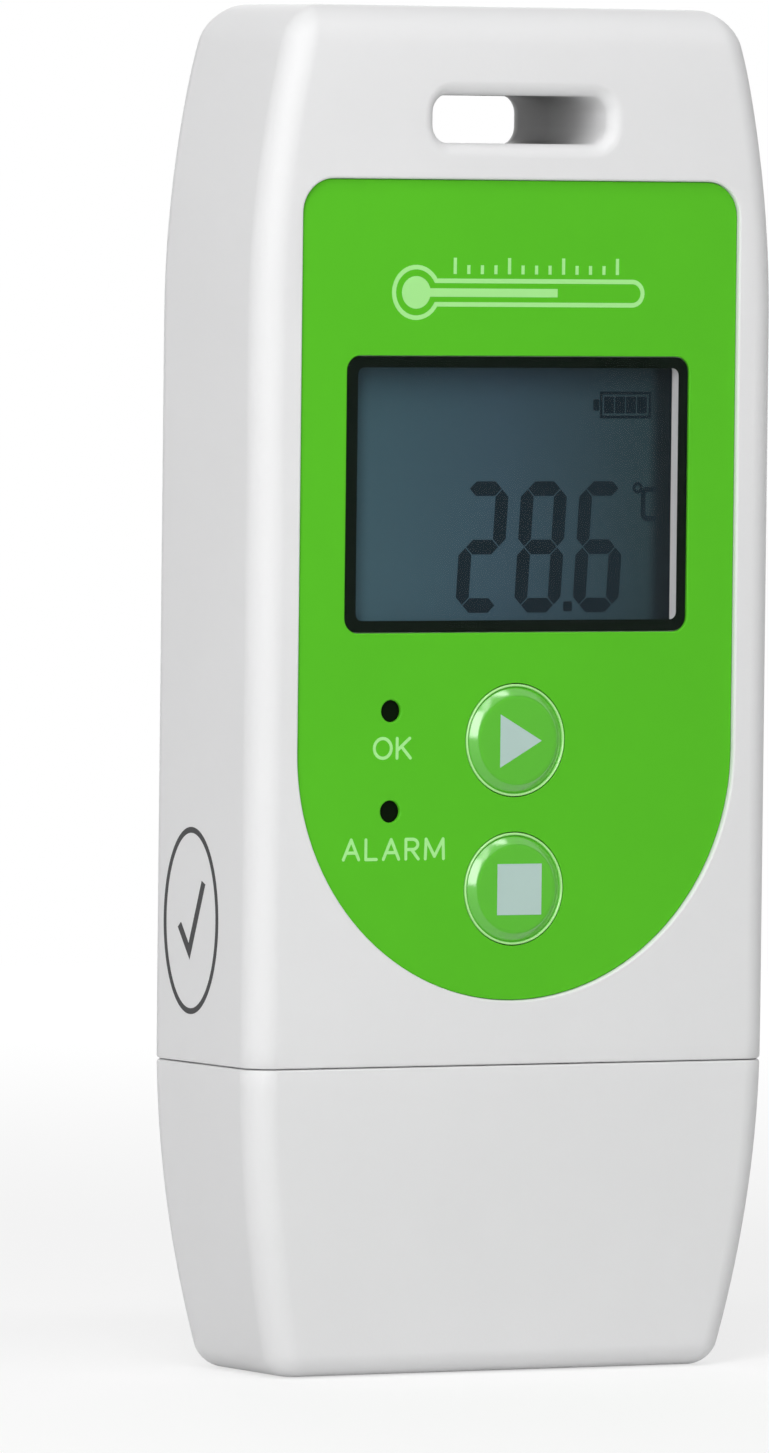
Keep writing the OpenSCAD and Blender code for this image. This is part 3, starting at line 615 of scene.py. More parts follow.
def clear_material(name, colour, share):
    """Clear anti-glare pane: a faint tint with slightly uneven gloss over what lies behind it."""
    mat, tree, shader = new_material(name)
    shader.inputs["Base Color"].default_value = (*colour, 1.0)
    shader.inputs["Alpha"].default_value = share
    cloud = noise(tree, place_node(tree), PANE_CLOUD_SIZE, detail=2.0)
    gloss = remap(tree, cloud, *PATCHES, new_low=0.04, new_high=0.10)
    tree.links.new(gloss, shader.inputs["Roughness"])
    return mat


def slot_painted_shade_material():
    """White plastic of the slot's walls with painted shade, darker towards the middle of the tunnel."""
    mat = moulded("white_plastic_slot_painted_shade", WHITE, WHITE_ROUGHNESS)
    tree = mat.node_tree
    base = tree.nodes["Principled BSDF"].inputs["Base Color"]
    depth = remap(tree, place_parts(tree)["Y"], FRONT_Y * MM, BACK_Y * MM, 0.0, 1.0)
    shadow = ramp(tree, depth, [(share, (grey, grey, grey)) for share, grey in SLOT_SHADE])
    tree.links.new(multiply(tree, base.links[0].from_socket, shadow), base)
    return mat


def lcd_material():
    """Grey-blue display glass, with painted shade that darkens it towards the right and the top edge."""
    mat, tree, shader = new_material("lcd_glass_painted_shade")
    parts = place_parts(tree)
    across = remap(tree, parts["X"], LCD_LEFT * MM, LCD_RIGHT * MM, 0.0, 1.0)
    up = remap(tree, parts["Z"], LCD_FOOT * MM, LCD_TOP * MM, 0.0, 1.0)
    colour = multiply(tree, ramp(tree, across, LCD_TINT_AND_SHADE_ACROSS), ramp(tree, up, LCD_SHADE_UP))
    tree.links.new(colour, shader.inputs["Base Color"])
    cloud = noise(tree, place_node(tree), LCD_CLOUD_SIZE)
    gloss = remap(tree, cloud, *PATCHES, new_low=0.30, new_high=0.42)
    tree.links.new(gloss, shader.inputs["Roughness"])
    shader.inputs["Specular IOR Level"].default_value = 0.08
    return mat


MATERIALS = {
    "white": moulded("white_plastic", WHITE, WHITE_ROUGHNESS),
    "door_white": moulded("white_plastic_door", shade(WHITE, 0.98), 0.48),
    "green_film": moulded("green_film", GREEN, 0.34, grain=0.22, depth=0.0015, spread_by=0.03, specular=0.12),
    "key_green": moulded("green_key", shade(GREEN, 0.97), 0.20, grain=0.6, depth=0.0005, spread_by=0.06,
                         specular=0.4),
    "clear_lens": clear_material("clear_pane", (0.02, 0.03, 0.03), 0.05),
    "black_print": moulded("black_print", (0.0018, 0.0055, 0.0022), 0.4, grain=0.5, depth=0.0003,
                           specular=0.03),
    "smoked": moulded("smoked_plastic", (0.003, 0.008, 0.002), 0.4, grain=0.3, depth=0.0005, specular=0.03),
    "lcd": lcd_material(),
    "reflector": moulded("reflector_film", (0.20, 0.25, 0.25), 0.5, grain=0.1, depth=0.002),
    "holder_white": moulded("holder_plastic", (0.70, 0.70, 0.68), 0.5),
    "black_plastic": moulded("black_plastic", (0.012, 0.012, 0.013), 0.45, grain=0.12),
    "rubber": moulded("rubber", (0.012, 0.012, 0.013), 0.75, grain=0.10, depth=0.006),
    "board_green": moulded("board", (0.012, 0.11, 0.035), 0.3, grain=0.25, depth=0.006, spread_by=0.12),
    "steel": metal("nickel_sheet", (0.62, 0.62, 0.61), 0.22),
    "screw_steel": metal("screw_steel", (0.42, 0.42, 0.43), 0.32, along=(8, 1, 8)),
    "gold": metal("gold_plate", (0.75, 0.50, 0.16), 0.25),
    "spring": metal("spring_strip", (0.60, 0.52, 0.33), 0.3),
    "ceramic": moulded("ceramic", (0.36, 0.26, 0.16), 0.55, grain=0.1, depth=0.005),
    "led": moulded("led_top", (0.72, 0.76, 0.66), 0.2, grain=0.3, depth=0.002),
}

# Looks that no node has by itself
# White plastic with painted shade for the walls of the lanyard slot
slot_shade_mat = slot_painted_shade_material()
bevel_mat = moulded("key_bevel", shade(GREEN, 0.95), 0.16, grain=0.6, depth=0.0003, spread_by=0.06,
                    rough_by=0.03, coat=1.0, coat_roughness=0.16)
# The keys' rim is a paler green: a painted highlight, over the real gloss of its coat
rim_highlight_mat = moulded("key_rim_painted_highlight", (0.42, 0.86, 0.28), 0.12, grain=0.6, depth=0.001, coat=1.0, coat_roughness=0.04)
sign_mat = moulded("key_sign", SIGN, 0.25, grain=0.25, depth=0.002, spread_by=0.05)
print_mat = moulded("pale_print", PRINT, 0.4, grain=0.2, depth=0.002, spread_by=0.05)
digit_mat = moulded("lcd_segments", (0.011, 0.021, 0.029), 0.35, grain=0.3, depth=0.001, spread_by=0.15,
                    specular=0.05)
ink_mat = moulded("stamp_ink", (0.020, 0.020, 0.022), 0.5, grain=0.15, depth=0.002, spread_by=0.3)


def dress_nodes():
    """Gives every CAD node the material of its slot."""
    slots = {s["node"]: s["material_slot"] for s in frame["record"]["subparts"]}
    for name, obj in frame["nodes"].items():
        obj.data.materials.clear()
        obj.data.materials.append(MATERIALS[slots[name]])


# Housing

def end_depths(fillet, steps):
    """Depths below an end of the steps of its rounding, from the inside out."""
    return [fillet * (1 - sin(radians(90 * i / steps))) for i in range(1, steps + 1)]


def housing_rings():
    """Rings of the outer form above the seam, with a fine chamfer at the seam."""
    rings = [body_ring(SEAM_Z, SEAM_CHAMFER), body_ring(SEAM_Z + SEAM_STEP, SEAM_INSET)]
    rings += [body_ring(z) for z in body_levels(SEAM_Z + SEAM_CHAMFER, BODY_H - TOP_FILLET)]
    rings += [body_ring(BODY_H - depth) for depth in end_depths(TOP_FILLET, TOP_STEPS)]
    return rings


def slot_cutter():
    """Cutter of the lanyard slot, with rounded rims at the front and, wider, at the back."""
    def rim(fillet):
        return [(FRONT_Y - OVER, fillet)] + [(FRONT_Y + deep, drawn) for deep, drawn in rounding(fillet, 8)]

    depths = rim(SLOT_FILLET) + [(-y, grow) for y, grow in reversed(rim(SLOT_BACK_FILLET))]
    return front_loft([(y, slot_outline(grow)) for y, grow in depths])


def shade_slot(piece):
    """Gives the walls of the lanyard slot their own material, which holds painted shade."""
    around, rim = 1.0, 0.3
    piece.data.materials.append(slot_shade_mat)
    for face in piece.data.polygons:
        x, y, z = face.center / MM
        beside = abs(x) < SLOT_W / 2 + around and abs(z - SLOT_Z) < SLOT_H / 2 + around
        if beside and abs(y) < BODY_D / 2 - rim:
            face.material_index = 1


def inside_cutter(inset, low, high, y_low, y_high):
    """Hollow between two heights, that follows the sides."""
    cut = TOP_FILLET / 2
    right = [(BODY_W / 2 - draw_in(z) - inset, z) for z in body_levels(low, high - cut)]
    right.append((BODY_W / 2 - draw_in(high) - inset - cut, high))
    return slab(right + [(-x, z) for x, z in reversed(right)], y_low, y_high)


def collar_outline(grow=0.0):
    """Outline of the plug's collar, seen from above."""
    half_w = BODY_W / 2 - draw_in(CAP_H) - CAP_WALL - CAP_FIT
    half_d = BODY_D / 2 - roll_in(CAP_H) - CAP_WALL - CAP_FIT
    r = max(CORNER_R - CAP_WALL / 2 + grow, LEAST_COLLAR_R)
    return rounded(half_w + grow, half_d + grow, r, INNER_CORNER_FACETS)


def make_front_housing():
    shell = as_object(loft(housing_rings()))
    combine(shell, [
        box((-BODY_W, SPLIT_Y, 0), (BODY_W, BODY_D, BODY_H + OVER)),
        inside_cutter(SIDE_WALL, CAVITY_FOOT, BODY_H - TOP_WALL, INNER_Y, SPLIT_Y + OVER),
    ], "DIFFERENCE")
    collar = loft([
        [(x, y, z) for x, y in collar_outline(grow)]
        for z, grow in ((COLLAR_FOOT, -COLLAR_LIP), (COLLAR_FOOT + COLLAR_LIP, 0), (CAVITY_FOOT, 0))
    ])
    combine(shell, [
        collar,
        slab(slot_outline(TUNNEL_WALL), INNER_Y - ROOT, SPLIT_Y),
        *[bar(x, z, BOSS_R, INNER_Y - ROOT, SPLIT_Y, BORE_FACETS) for x, z in SCREW_SPOTS],
    ], "UNION")
    groove_low, groove_high = COLLAR_FOOT + GROOVE_LOW, COLLAR_FOOT + GROOVE_HIGH
    groove = as_object(box((-BODY_W, -BODY_D, groove_low), (BODY_W, BODY_D, groove_high)))
    combine(groove, [level_plate(collar_outline(-GROOVE_DEPTH), COLLAR_FOOT, CAP_H)], "DIFFERENCE")
    plug_room = box(
        (shell_low.x - HAIR, shell_low.y - HAIR, COLLAR_FOOT - OVER),
        (shell_high.x + HAIR, shell_high.y + HAIR, CAVITY_FOOT),
    )
    front = FRONT_Y, INNER_Y + OVER
    screws = SPLIT_Y - SCREW_BORE_LEN, SPLIT_Y + OVER
    combine(shell, [
        level_plate(collar_outline(-COLLAR_WALL), COLLAR_FOOT + COLLAR_WALL, CAVITY_FOOT + COLLAR_REACH),
        plug_room,
        taken_back(groove),
        flared_cutter(lambda g=0: label_outline(g + HAIR), FRONT_Y, FLOOR_Y, RECESS_EDGE),
        slab(opening_outline(), *front),
        *[bar(mid.x, mid.z, KEY_R + RUN_GAP, *front, KEY_FACETS) for mid in (start_mid, stop_mid)],
        *[bar(PIPE_X, z, PIPE_R + HAIR, *front, BORE_FACETS) for z in PIPE_SPOTS],
        slot_cutter(),
        *[bar(x, z, SCREW_R + HAIR, *screws, BORE_FACETS) for x, z in SCREW_SPOTS],
    ], "DIFFERENCE")
    shade_slot(finish_piece(shell, "housing_shell", "logger", "white", replaces=["front_housing"]))


def screw_sinks():
    """Countersinks and bores of the screws in the rear cover."""
    sinks = []
    for x, z in SCREW_SPOTS:
        top = BACK_Y - roll_in(z) - SINK_DROP
        profile = [
            (0, BACK_Y + OVER), (SINK_RIM_R, BACK_Y + OVER), (SINK_RIM_R, top + SINK_RIM),
            (SINK_R, top), (SINK_FOOT_R, top - SINK_DEPTH), (0, top - SINK_DEPTH),
        ]
        sinks.append(lathe(profile, x, z, HOLE_FACETS))
        sinks.append(bar(x, z, SCREW_R + RUN_GAP, SPLIT_Y - OVER, BACK_Y + OVER, BORE_FACETS))
    return sinks


def make_rear_cover():
    shell = as_object(loft(housing_rings()))
    well = bar(0, CELL_Z, SEAT_R + WELL_WALL, WELL_Y + HAIR, SPLIT_Y + WELL_ROOT, WELL_FACETS)
    combine(shell, [box((-BODY_W, -BODY_D, 0), (BODY_W, SPLIT_Y, BODY_H + OVER))], "DIFFERENCE")
    combine(shell, [well], "UNION")
    seat = [
        (0, BACK_Y + OVER), (SEAT_R + SEAT_CHAMFER, BACK_Y + OVER), (SEAT_R + SEAT_CHAMFER, BACK_Y),
        (SEAT_R + SEAT_STEP, BACK_Y - SEAT_STEP_DEPTH), (SEAT_R, BACK_Y - SEAT_CHAMFER),
        (SEAT_R, LEDGE_Y), (0, LEDGE_Y),
    ]
    run_r = LUG_R + RUN_GAP
    notches = [
        slab(sector(NOTCH_IN_R, run_r, NOTCH_AT + turn, NOTCH_ANGLE), LEDGE_Y - LUG_DROP, LEDGE_Y + HAIR)
        for turn in LUG_TURNS
    ]
    combine(shell, [
        lathe(seat, 0, CELL_Z, LID_FACETS),
        bar(0, CELL_Z, SKIRT_R + RUN_GAP, 0, LEDGE_Y + OVER, WELL_FACETS),
        *notches,
        bar(0, CELL_Z, run_r, 0, LEDGE_Y - LUG_DROP + RUN_GAP, WELL_FACETS),
        slot_cutter(),
        *screw_sinks(),
    ], "DIFFERENCE")
    shade_slot(finish_piece(shell, "rear_panel", "logger", "white", replaces=["rear_cover"]))


def make_cap():
    rings = [body_ring(z) for z in reversed(end_depths(FOOT_FILLET, FOOT_STEPS))]
    rings += [body_ring(z) for z in body_levels(FOOT_FILLET, CAP_H - SEAM_CHAMFER)]
    rings += [body_ring(CAP_H - SEAM_STEP, SEAM_INSET), body_ring(CAP_H, SEAM_CHAMFER)]
    shell = as_object(loft(rings))
    hollow = [body_ring(z, CAP_WALL, INNER_CORNER_FACETS) for z in body_levels(CAP_FLOOR, COLLAR_FOOT)]
    near = shell_high.y + RUN_GAP
    ribs = []
    for x in (-RIB_X, RIB_X):
        for face in (-1, 1):
            y_low, y_high = sorted((face * near, face * BODY_D / 2))
            ribs.append(box((x - RIB_HALF, y_low, RIB_FOOT), (x + RIB_HALF, y_high, CAP_FLOOR + RIB_H)))
    inside = combine(as_object(loft(hollow)), ribs, "DIFFERENCE")
    mouth = level_plate(collar_outline(CAP_FIT), COLLAR_FOOT - HAIR, CAP_H + OVER)
    combine(shell, [taken_back(inside), mouth], "DIFFERENCE")
    finish_piece(shell, "cap_shell", "cap_body", "white", replaces=["cap"])


def make_battery_cover():
    skirt_foot = door_low.y
    profile = [(0, BACK_Y)] + [(DOOR_R - inward, BACK_Y - down) for inward, down in LID_EDGE]
    profile += [
        (DOOR_R, LEDGE_Y + HAIR), (SKIRT_R, LEDGE_Y + HAIR), (SKIRT_R, skirt_foot),
        (SKIRT_IN_R, skirt_foot), (SKIRT_IN_R, LEDGE_Y), (0, LEDGE_Y),
    ]
    cover = as_object(lathe(profile, 0, CELL_Z, LID_FACETS))
    combine(cover, [
        slab(sector(LUG_IN_R, LUG_R, turn, LUG_ANGLE), skirt_foot, LEDGE_Y - LUG_DROP)
        for turn in LUG_TURNS
    ], "UNION")
    coin = rect_outline(0, CELL_Z, COIN_W, COIN_H, COIN_R)
    sections = (
        (BACK_Y - COIN_DEPTH, 0), (BACK_Y - COIN_RIM, 0), (BACK_Y - COIN_RIM / 4, COIN_RIM / 3),
        (BACK_Y, COIN_RIM), (BACK_Y + OVER, COIN_RIM),
    )
    combine(cover, [front_loft([(y, coin(grow)) for y, grow in sections])], "DIFFERENCE")
    finish_piece(cover, "battery_lid", "battery_door", "door_white", replaces=["battery_cover"])


# Front

# Keys, whose crowns lie in the front's plane
KEY_RIM_R, KEY_RIM_DEPTH, KEY_RIM_STEP = 3.27, 0.42, 0.01
KEY_DOME, KEY_SHOULDER, SHOULDER_POWER, KEY_CENTRE_R = 0.02, 0.52, 1.12, 0.3
RIM_SHIFT, RIM_TRIM, RIM_UP, RIM_ROUND, RIM_DOWN, RIM_FACETS = 0.01, 0.015, 0.06, 0.09, 0.03, 24
BEVEL_OUT, BEVEL_IN, SIGN_OUT = 0.008, 0.04, 0.008
PLAY_SIGN = ((-1.22, 1.60), (-1.22, -1.68), (1.68, -0.04))
STOP_SIGN = ((-1.32, 1.54), (-1.32, -1.60), (1.78, -1.60), (1.78, 1.54))

# Depths of the prints, a little proud of the film, and each word with its left, right and foot
PRINT_DEPTHS = FILM_Y - 0.012, FILM_Y + 0.01
WORD_H, WORD_STROKE = 1.41, 0.20
WORDS = (("OK", -9.97, -7.25, 37.86), ("ALARM", -12.04, -4.86, 31.67))


def make_overlay():
    film = as_object(plate(label_outline, FILM_Y, FLOOR_Y, FILM_EDGE))
    holes = [(lambda g=0: window_outline(g + HAIR), WINDOW_HOLE_EDGE)]
    for mid in (start_mid, stop_mid):
        holes.append((circle_outline(mid.x, mid.z, KEY_R + KEY_GAP, KEY_FACETS), KEY_HOLE_EDGE))
    for z in PIPE_SPOTS:
        holes.append((circle_outline(PIPE_X, z, PIPE_HOLE_R, HOLE_FACETS), PIPE_HOLE_EDGE))
    cutters = [flared_cutter(outline, FILM_Y, FLOOR_Y + OVER, edge) for outline, edge in holes]
    combine(film, cutters, "DIFFERENCE")
    finish_piece(film, "overlay_film", "logger", "green_film", replaces=["front_overlay"])


def make_window():
    pane = plate(window_outline, FILM_Y, mask_low.y - PANE_GAP, PANE_EDGE)
    finish_piece(pane, "window_pane", "logger", "clear_lens", replaces=["window_lens"])
    border = band(window_outline(), view_outline(), mask_low.y, mask_high.y)
    finish_piece(border, "window_border", "logger", "black_print", replaces=["window_mask"])


def make_key(node, body, mid, sign_points):
    """Key with a shallow clear-looking dome, a rim of paler green that is a painted highlight over its real
    gloss, and its sign.
    """
    foot_y = FRONT_Y + KEY_RIM_DEPTH
    lens_r = KEY_RIM_R - KEY_SHOULDER
    flange_y = INNER_Y + RUN_GAP
    flange_r = KEY_R + FLANGE_REACH
    stem_end = span(node)[1].y
    fall = foot_y - FRONT_Y - KEY_DOME
    slope = [
        (lens_r + KEY_SHOULDER * t, FRONT_Y + KEY_DOME + fall * t ** SHOULDER_POWER)
        for t in spread(0.0, 1.0, 16)
    ]
    dome = [(r, FRONT_Y + KEY_DOME * (r / lens_r) ** 2) for r in spread(KEY_CENTRE_R, lens_r, 10)]
    profile = [(0, FRONT_Y)] + dome + slope[1:] + [
        (KEY_R, foot_y + KEY_RIM_STEP), (KEY_R, flange_y), (flange_r, flange_y),
        (flange_r, flange_y + FLANGE_T), (STEM_R, flange_y + FLANGE_T), (STEM_R, stem_end), (0, stem_end),
    ]
    finish_piece(lathe(profile, mid.x, mid.z), f"{body}_body", body, "key_green", replaces=[node])
    bevel = [(r, y - BEVEL_OUT) for r, y in slope] + [(r, y + BEVEL_IN) for r, y in reversed(slope)]
    finish_piece(ring_lathe(bevel, mid.x, mid.z), f"{body}_bevel", body, "key_green", bevel_mat)
    rim_mid, rim_half = (KEY_RIM_R + KEY_R) / 2 + RIM_SHIFT, (KEY_R - KEY_RIM_R) / 2 - RIM_TRIM
    rim = []
    for a in (2 * pi * i / RIM_FACETS for i in range(RIM_FACETS)):
        y = foot_y - RIM_UP - RIM_ROUND * sin(a) if sin(a) > 0 else foot_y + RIM_DOWN
        rim.append((rim_mid + rim_half * cos(a), y))
    finish_piece(ring_lathe(rim, mid.x, mid.z), f"{body}_rim", body, "key_green", rim_highlight_mat, smooth=50)
    outline = [(mid.x + x, mid.z + z) for x, z in sign_points]
    sign = slab(outline, FRONT_Y - SIGN_OUT, FRONT_Y + KEY_DOME)
    finish_piece(sign, f"{body}_sign", body, "key_green", sign_mat)


def join(bms):
    """One bmesh of several."""
    whole = bmesh.new()
    for part in bms:
        mesh = bpy.data.meshes.new("part")
        part.to_mesh(mesh)
        part.free()
        whole.from_mesh(mesh)
        bpy.data.meshes.remove(mesh)
    return whole


def path_band(points, width, y_low, y_high, closed=False):
    """Stroke of constant width along a path, as one band with mitred corners."""
    least_mitre = 0.35
    n = len(points)
    left, right = [], []
    for i in range(n):
        if closed:
            before, after = points[i - 1], points[(i + 1) % n]
        else:
            before, after = points[max(i - 1, 0)], points[min(i + 1, n - 1)]
        here = Vector(points[i])
        d0 = here - Vector(before)
        d1 = Vector(after) - here
        d0 = d0.normalized() if d0.length > 0 else d1.normalized()
        d1 = d1.normalized() if d1.length > 0 else d0
        tangent = (d0 + d1).normalized()
        normal = Vector((-tangent.y, tangent.x))
        reach = width / 2 / max(least_mitre, normal.dot(Vector((-d0.y, d0.x))))
        left.append(tuple(here + normal * reach))
        right.append(tuple(here - normal * reach))
    if closed:
        return band(left, right, y_low, y_high)
    return slab(left + list(reversed(right)), y_low, y_high)


def capsule(a, b, width, y_low, y_high, n=6):
    """Straight stroke with round ends."""
    along = (Vector(b) - Vector(a)).normalized()
    heading = along.to_2d().angle_signed(Vector((1, 0)))
    outline = []
    for (px, pz), start in ((b, -90), (a, 90)):
        for i in range(n + 1):
            t = heading + radians(start + 180 * i / n)
            outline.append((px + width / 2 * cos(t), pz + width / 2 * sin(t)))
    return slab(outline, y_low, y_high)


def arc(x, z, r, start, end, n, squash=1.0):
    """Points of an arc between two angles, in degrees."""
    turn = [radians(a) for a in spread(start, end, n)]
    return [(x + r * squash * cos(a), z + r * sin(a)) for a in turn]


# Strokes of plain letters of height 1, those with a closed stroke, and their widths
LETTERS = {
    "O": [arc(0.42, 0.5, 0.5, 0, 345, 23, 0.84)],
    "K": [[(0, 0), (0, 1)], [(0.62, 1), (0.04, 0.42)], [(0.66, 0), (0.22, 0.58)]],
    "A": [[(0, 0), (0.38, 1), (0.76, 0)], [(0.14, 0.34), (0.62, 0.34)]],
    "L": [[(0, 1), (0, 0), (0.52, 0)]],
    "R": [
        [(0, 0), (0, 1), (0.30, 1)] + arc(0.33, 0.74, 0.26, 80, -80, 10) + [(0.0, 0.48)],
        [(0.28, 0.48), (0.62, 0)],
    ],
    "M": [[(0, 0), (0.03, 1), (0.45, 0.12), (0.87, 1), (0.90, 0)]],
}
CLOSED = "O"
ADVANCE = {"O": 0.84, "K": 0.66, "A": 0.76, "L": 0.52, "R": 0.62, "M": 0.90}


def write_word(word, x_low, x_high, z_low):
    """Word in plain strokes between two places."""
    natural = sum(ADVANCE[c] for c in word) * WORD_H
    gap = (x_high - x_low - WORD_STROKE - natural) / (len(word) - 1)
    x = x_low + WORD_STROKE / 2
    z = z_low + WORD_STROKE / 2
    parts = []
    for letter in word:
        for path in LETTERS[letter]:
            points = [(x + px * WORD_H, z + pz * (WORD_H - WORD_STROKE)) for px, pz in path]
            if letter in CLOSED:
                parts.append(path_band(points, WORD_STROKE, *PRINT_DEPTHS, True))
            else:
                parts += [capsule(a, b, WORD_STROKE, *PRINT_DEPTHS) for a, b in zip(points, points[1:])]
        x += ADVANCE[letter] * WORD_H + gap
    return parts


def make_words():
    """Words beside the indicators."""
    strokes = [stroke for word in WORDS for stroke in write_word(*word)]
    words = combine(as_object(strokes[0]), strokes[1:], "UNION")
    finish_piece(words, "indicator_words", "logger", "green_film", print_mat, weld=0.004)


def make_thermometer():
    """Generic thermometer above the display."""
    mid_z, stroke = 66.45, 0.28
    bulb_x, bulb_r, stem_half, stem_end = -7.3, 1.55, 0.72, 8.6
    tip = stem_end - stem_half
    meet = bulb_x + sqrt(bulb_r ** 2 - stem_half ** 2)
    edge = [(meet, mid_z + stem_half), (tip, mid_z + stem_half)]
    edge += arc(tip, mid_z, stem_half, 80, -80, 10)
    edge += [(tip, mid_z - stem_half), (meet, mid_z - stem_half)]
    edge += arc(bulb_x, mid_z, bulb_r, -35, -325, 28)
    parts = [path_band(edge, stroke, *PRINT_DEPTHS, True)]
    fill_r, fill_half, fill_end = bulb_r - 0.55, 0.26, 2.6
    meet = bulb_x + sqrt(fill_r ** 2 - fill_half ** 2)
    fill = arc(bulb_x, mid_z, fill_r, 20, 340, 28)
    fill += [(meet, mid_z - fill_half), (fill_end, mid_z - fill_half)]
    fill += [(fill_end, mid_z + fill_half), (meet, mid_z + fill_half)]
    parts.append(slab(fill, *PRINT_DEPTHS))
    ticks, long_every, long_tick, short_tick = 13, 4, 1.0, 0.55
    tick_x, tick_z, tick_step, tick_stroke = -4.6, mid_z + stem_half + 0.42, 0.95, 0.22
    for i in range(ticks):
        x = tick_x + i * tick_step
        height = short_tick if i % long_every else long_tick
        parts.append(path_band([(x, tick_z), (x, tick_z + height)], tick_stroke, *PRINT_DEPTHS))
    finish_piece(join(parts), "thermometer_mark", "logger", "green_film", print_mat)


# Reading 28.6: the segments that each digit lights, and its place
DIGITS = (("abged", -1.78), ("abcdefg", 2.34), ("acdefg", 6.46))
DIGIT_Z, DIGIT_H, DIGIT_W, DIGIT_STROKE, DIGIT_GAP = 50.82, 8.08, 3.24, 0.90, 0.05
DIGIT_LEAN = tan(radians(3.4))
SEGMENT_DEPTHS = lcd_low.y - 0.010, lcd_low.y + 0.005

# Rounded rectangles as (x, z, width, height, corner radius), and strokes as a path and a width
POINT = (4.28, 47.15, 0.62, 0.62, 0.1)
BATTERY_NUB = (6.15, 59.56, 0.42, 0.7, 0.05)
BATTERY_BARS = [(7.05 + i * 0.78, 59.56, 0.70, 1.04, 0.05) for i in range(4)]
BATTERY_FRAME, FRAME_STROKE = ((6.5, 58.82), (9.95, 58.82), (9.95, 60.3), (6.5, 60.3)), 0.18
DEGREE_RING, DEGREE_STROKE = arc(9.15, 54.45, 0.26, 0, 345, 16), 0.20
UNIT_PATH, UNIT_STROKE = (
    (10.45, 54.35), (9.75, 54.35), (9.55, 54.15), (9.55, 52.75), (9.75, 52.55), (10.45, 52.55),
), 0.32


def segment_shapes():
    """Seven segments of a digit about its middle, as outlines with bevelled ends."""
    w, h, s, gap = DIGIT_W / 2, DIGIT_H / 2, DIGIT_STROKE, DIGIT_GAP

    def across(z, x0, x1):
        return [
            (x0 + gap, z), (x0 + gap + s / 2, z + s / 2), (x1 - gap - s / 2, z + s / 2),
            (x1 - gap, z), (x1 - gap - s / 2, z - s / 2), (x0 + gap + s / 2, z - s / 2),
        ]

    def upright(x, z0, z1):
        return [(px, pz) for pz, px in across(x, z0, z1)]

    left, right = -w + s / 2, w - s / 2
    top, foot = h - s / 2, -h + s / 2
    return {
        "a": across(top, left, right), "g": across(0, left, right), "d": across(foot, left, right),
        "f": upright(left, 0, top), "b": upright(right, 0, top),
        "e": upright(left, foot, 0), "c": upright(right, foot, 0),
    }


def make_display():
    """Reading, unit and battery sign on the display glass."""
    shapes = segment_shapes()
    parts = [
        slab([(x + px + pz * DIGIT_LEAN, DIGIT_Z + pz) for px, pz in shapes[key]], *SEGMENT_DEPTHS)
        for keys, x in DIGITS
        for key in keys
    ]
    parts.append(slab(rect_outline(*POINT)(), *SEGMENT_DEPTHS))
    parts.append(path_band(DEGREE_RING, DEGREE_STROKE, *SEGMENT_DEPTHS, True))
    parts.append(path_band(UNIT_PATH, UNIT_STROKE, *SEGMENT_DEPTHS))
    parts.append(path_band(BATTERY_FRAME, FRAME_STROKE, *SEGMENT_DEPTHS, True))
    parts += [slab(rect_outline(*shape)(), *SEGMENT_DEPTHS) for shape in (BATTERY_NUB, *BATTERY_BARS)]
    finish_piece(join(parts), "display_segments", "logger", "black_print", digit_mat)


def make_stamp():
    """Plain oval with a tick on the left side, in place of an inspection stamp.

    It is drawn as if in the front view, and then turned onto the side.
    """
    mid_y, mid_z, half_y, half_z, stroke, tick_stroke = 1.27, 27.76, 3.40, 5.57, 0.36, 0.52
    out, thickness = 0.012, 0.02
    oval = [(mid_y + half_y * y, mid_z + half_z * z) for y, z in circle(0, 0, 1, 72)]
    tick = [(mid_y + 1.5, mid_z - 0.3), (mid_y + 0.2, mid_z - 1.9), (mid_y - 1.6, mid_z + 2.4)]
    mark = join([path_band(oval, stroke, 0, 1, True), path_band(tick, tick_stroke, 0, 1)])
    for v in mark.verts:
        v.co = Vector((-BODY_W / 2 - out + v.co.y * thickness, v.co.x, v.co.z))
    mark.normal_update()
    bmesh.ops.recalc_face_normals(mark, faces=mark.faces)
    finish_piece(mark, "side_mark", "logger", "black_print", ink_mat)


# Stage, in metres

FLOOR_SIZE = 12.0
FLOOR_DROP = 0.05 * MM
FLOOR_SEEN = (0.96, 0.96, 0.96, 1.0)
FLOOR_BOUNCE = (0.80, 0.80, 0.80, 1.0)
PLAIN_WHITE = (1.0, 1.0, 1.0, 1.0)
SHADOW_ZONE, WHITE_ZONE = 0.12, 0.45
NEAR_GLOW = 0.65
AMBIENT = 0.335

# Name, azimuth, elevation, distance, width, height and radiance
LAMPS = (
    ("left_box", -44, 21, 0.36, 0.11, 0.25, 7.0),
    ("corner_box", -29, 51, 0.45, 0.09, 0.20, 3.4),
    ("top_strip", -8, 68, 0.60, 0.42, 0.085, 6.4),
    ("back_box", 152, 12, 0.50, 0.25, 0.25, 3.8),
)

# Camera fitted to the photograph: focal length in its pixels, the rest in millimetres and degrees
PHOTO_H = 1453
SENSOR_H = 36.0
FOCAL = 14918.235
AZIMUTH, ELEVATION, ROLL = -28.6, 2.212, 0.641
DISTANCE, SHIFT_X, SHIFT_Z = 922.297, -4.847, -2.489


def toward(azimuth, elevation):
    """Direction from the object to a place at an azimuth and elevation, in radians."""
    return Vector((sin(azimuth) * cos(elevation), -cos(azimuth) * cos(elevation), sin(elevation)))


def seen_ray(tree):
    """1 for camera rays and what gloss and clear pieces show, 0 for rays that light the object."""
    path = add_node(tree, "ShaderNodeLightPath")
    value = path.outputs["Is Camera Ray"]
    for kind in ("Is Glossy Ray", "Is Transmission Ray"):
        either = add_node(tree, "ShaderNodeMath", operation="MAXIMUM")
        tree.links.new(value, either.inputs[0])
        tree.links.new(path.outputs[kind], either.inputs[1])
        value = either.outputs[0]
    return value


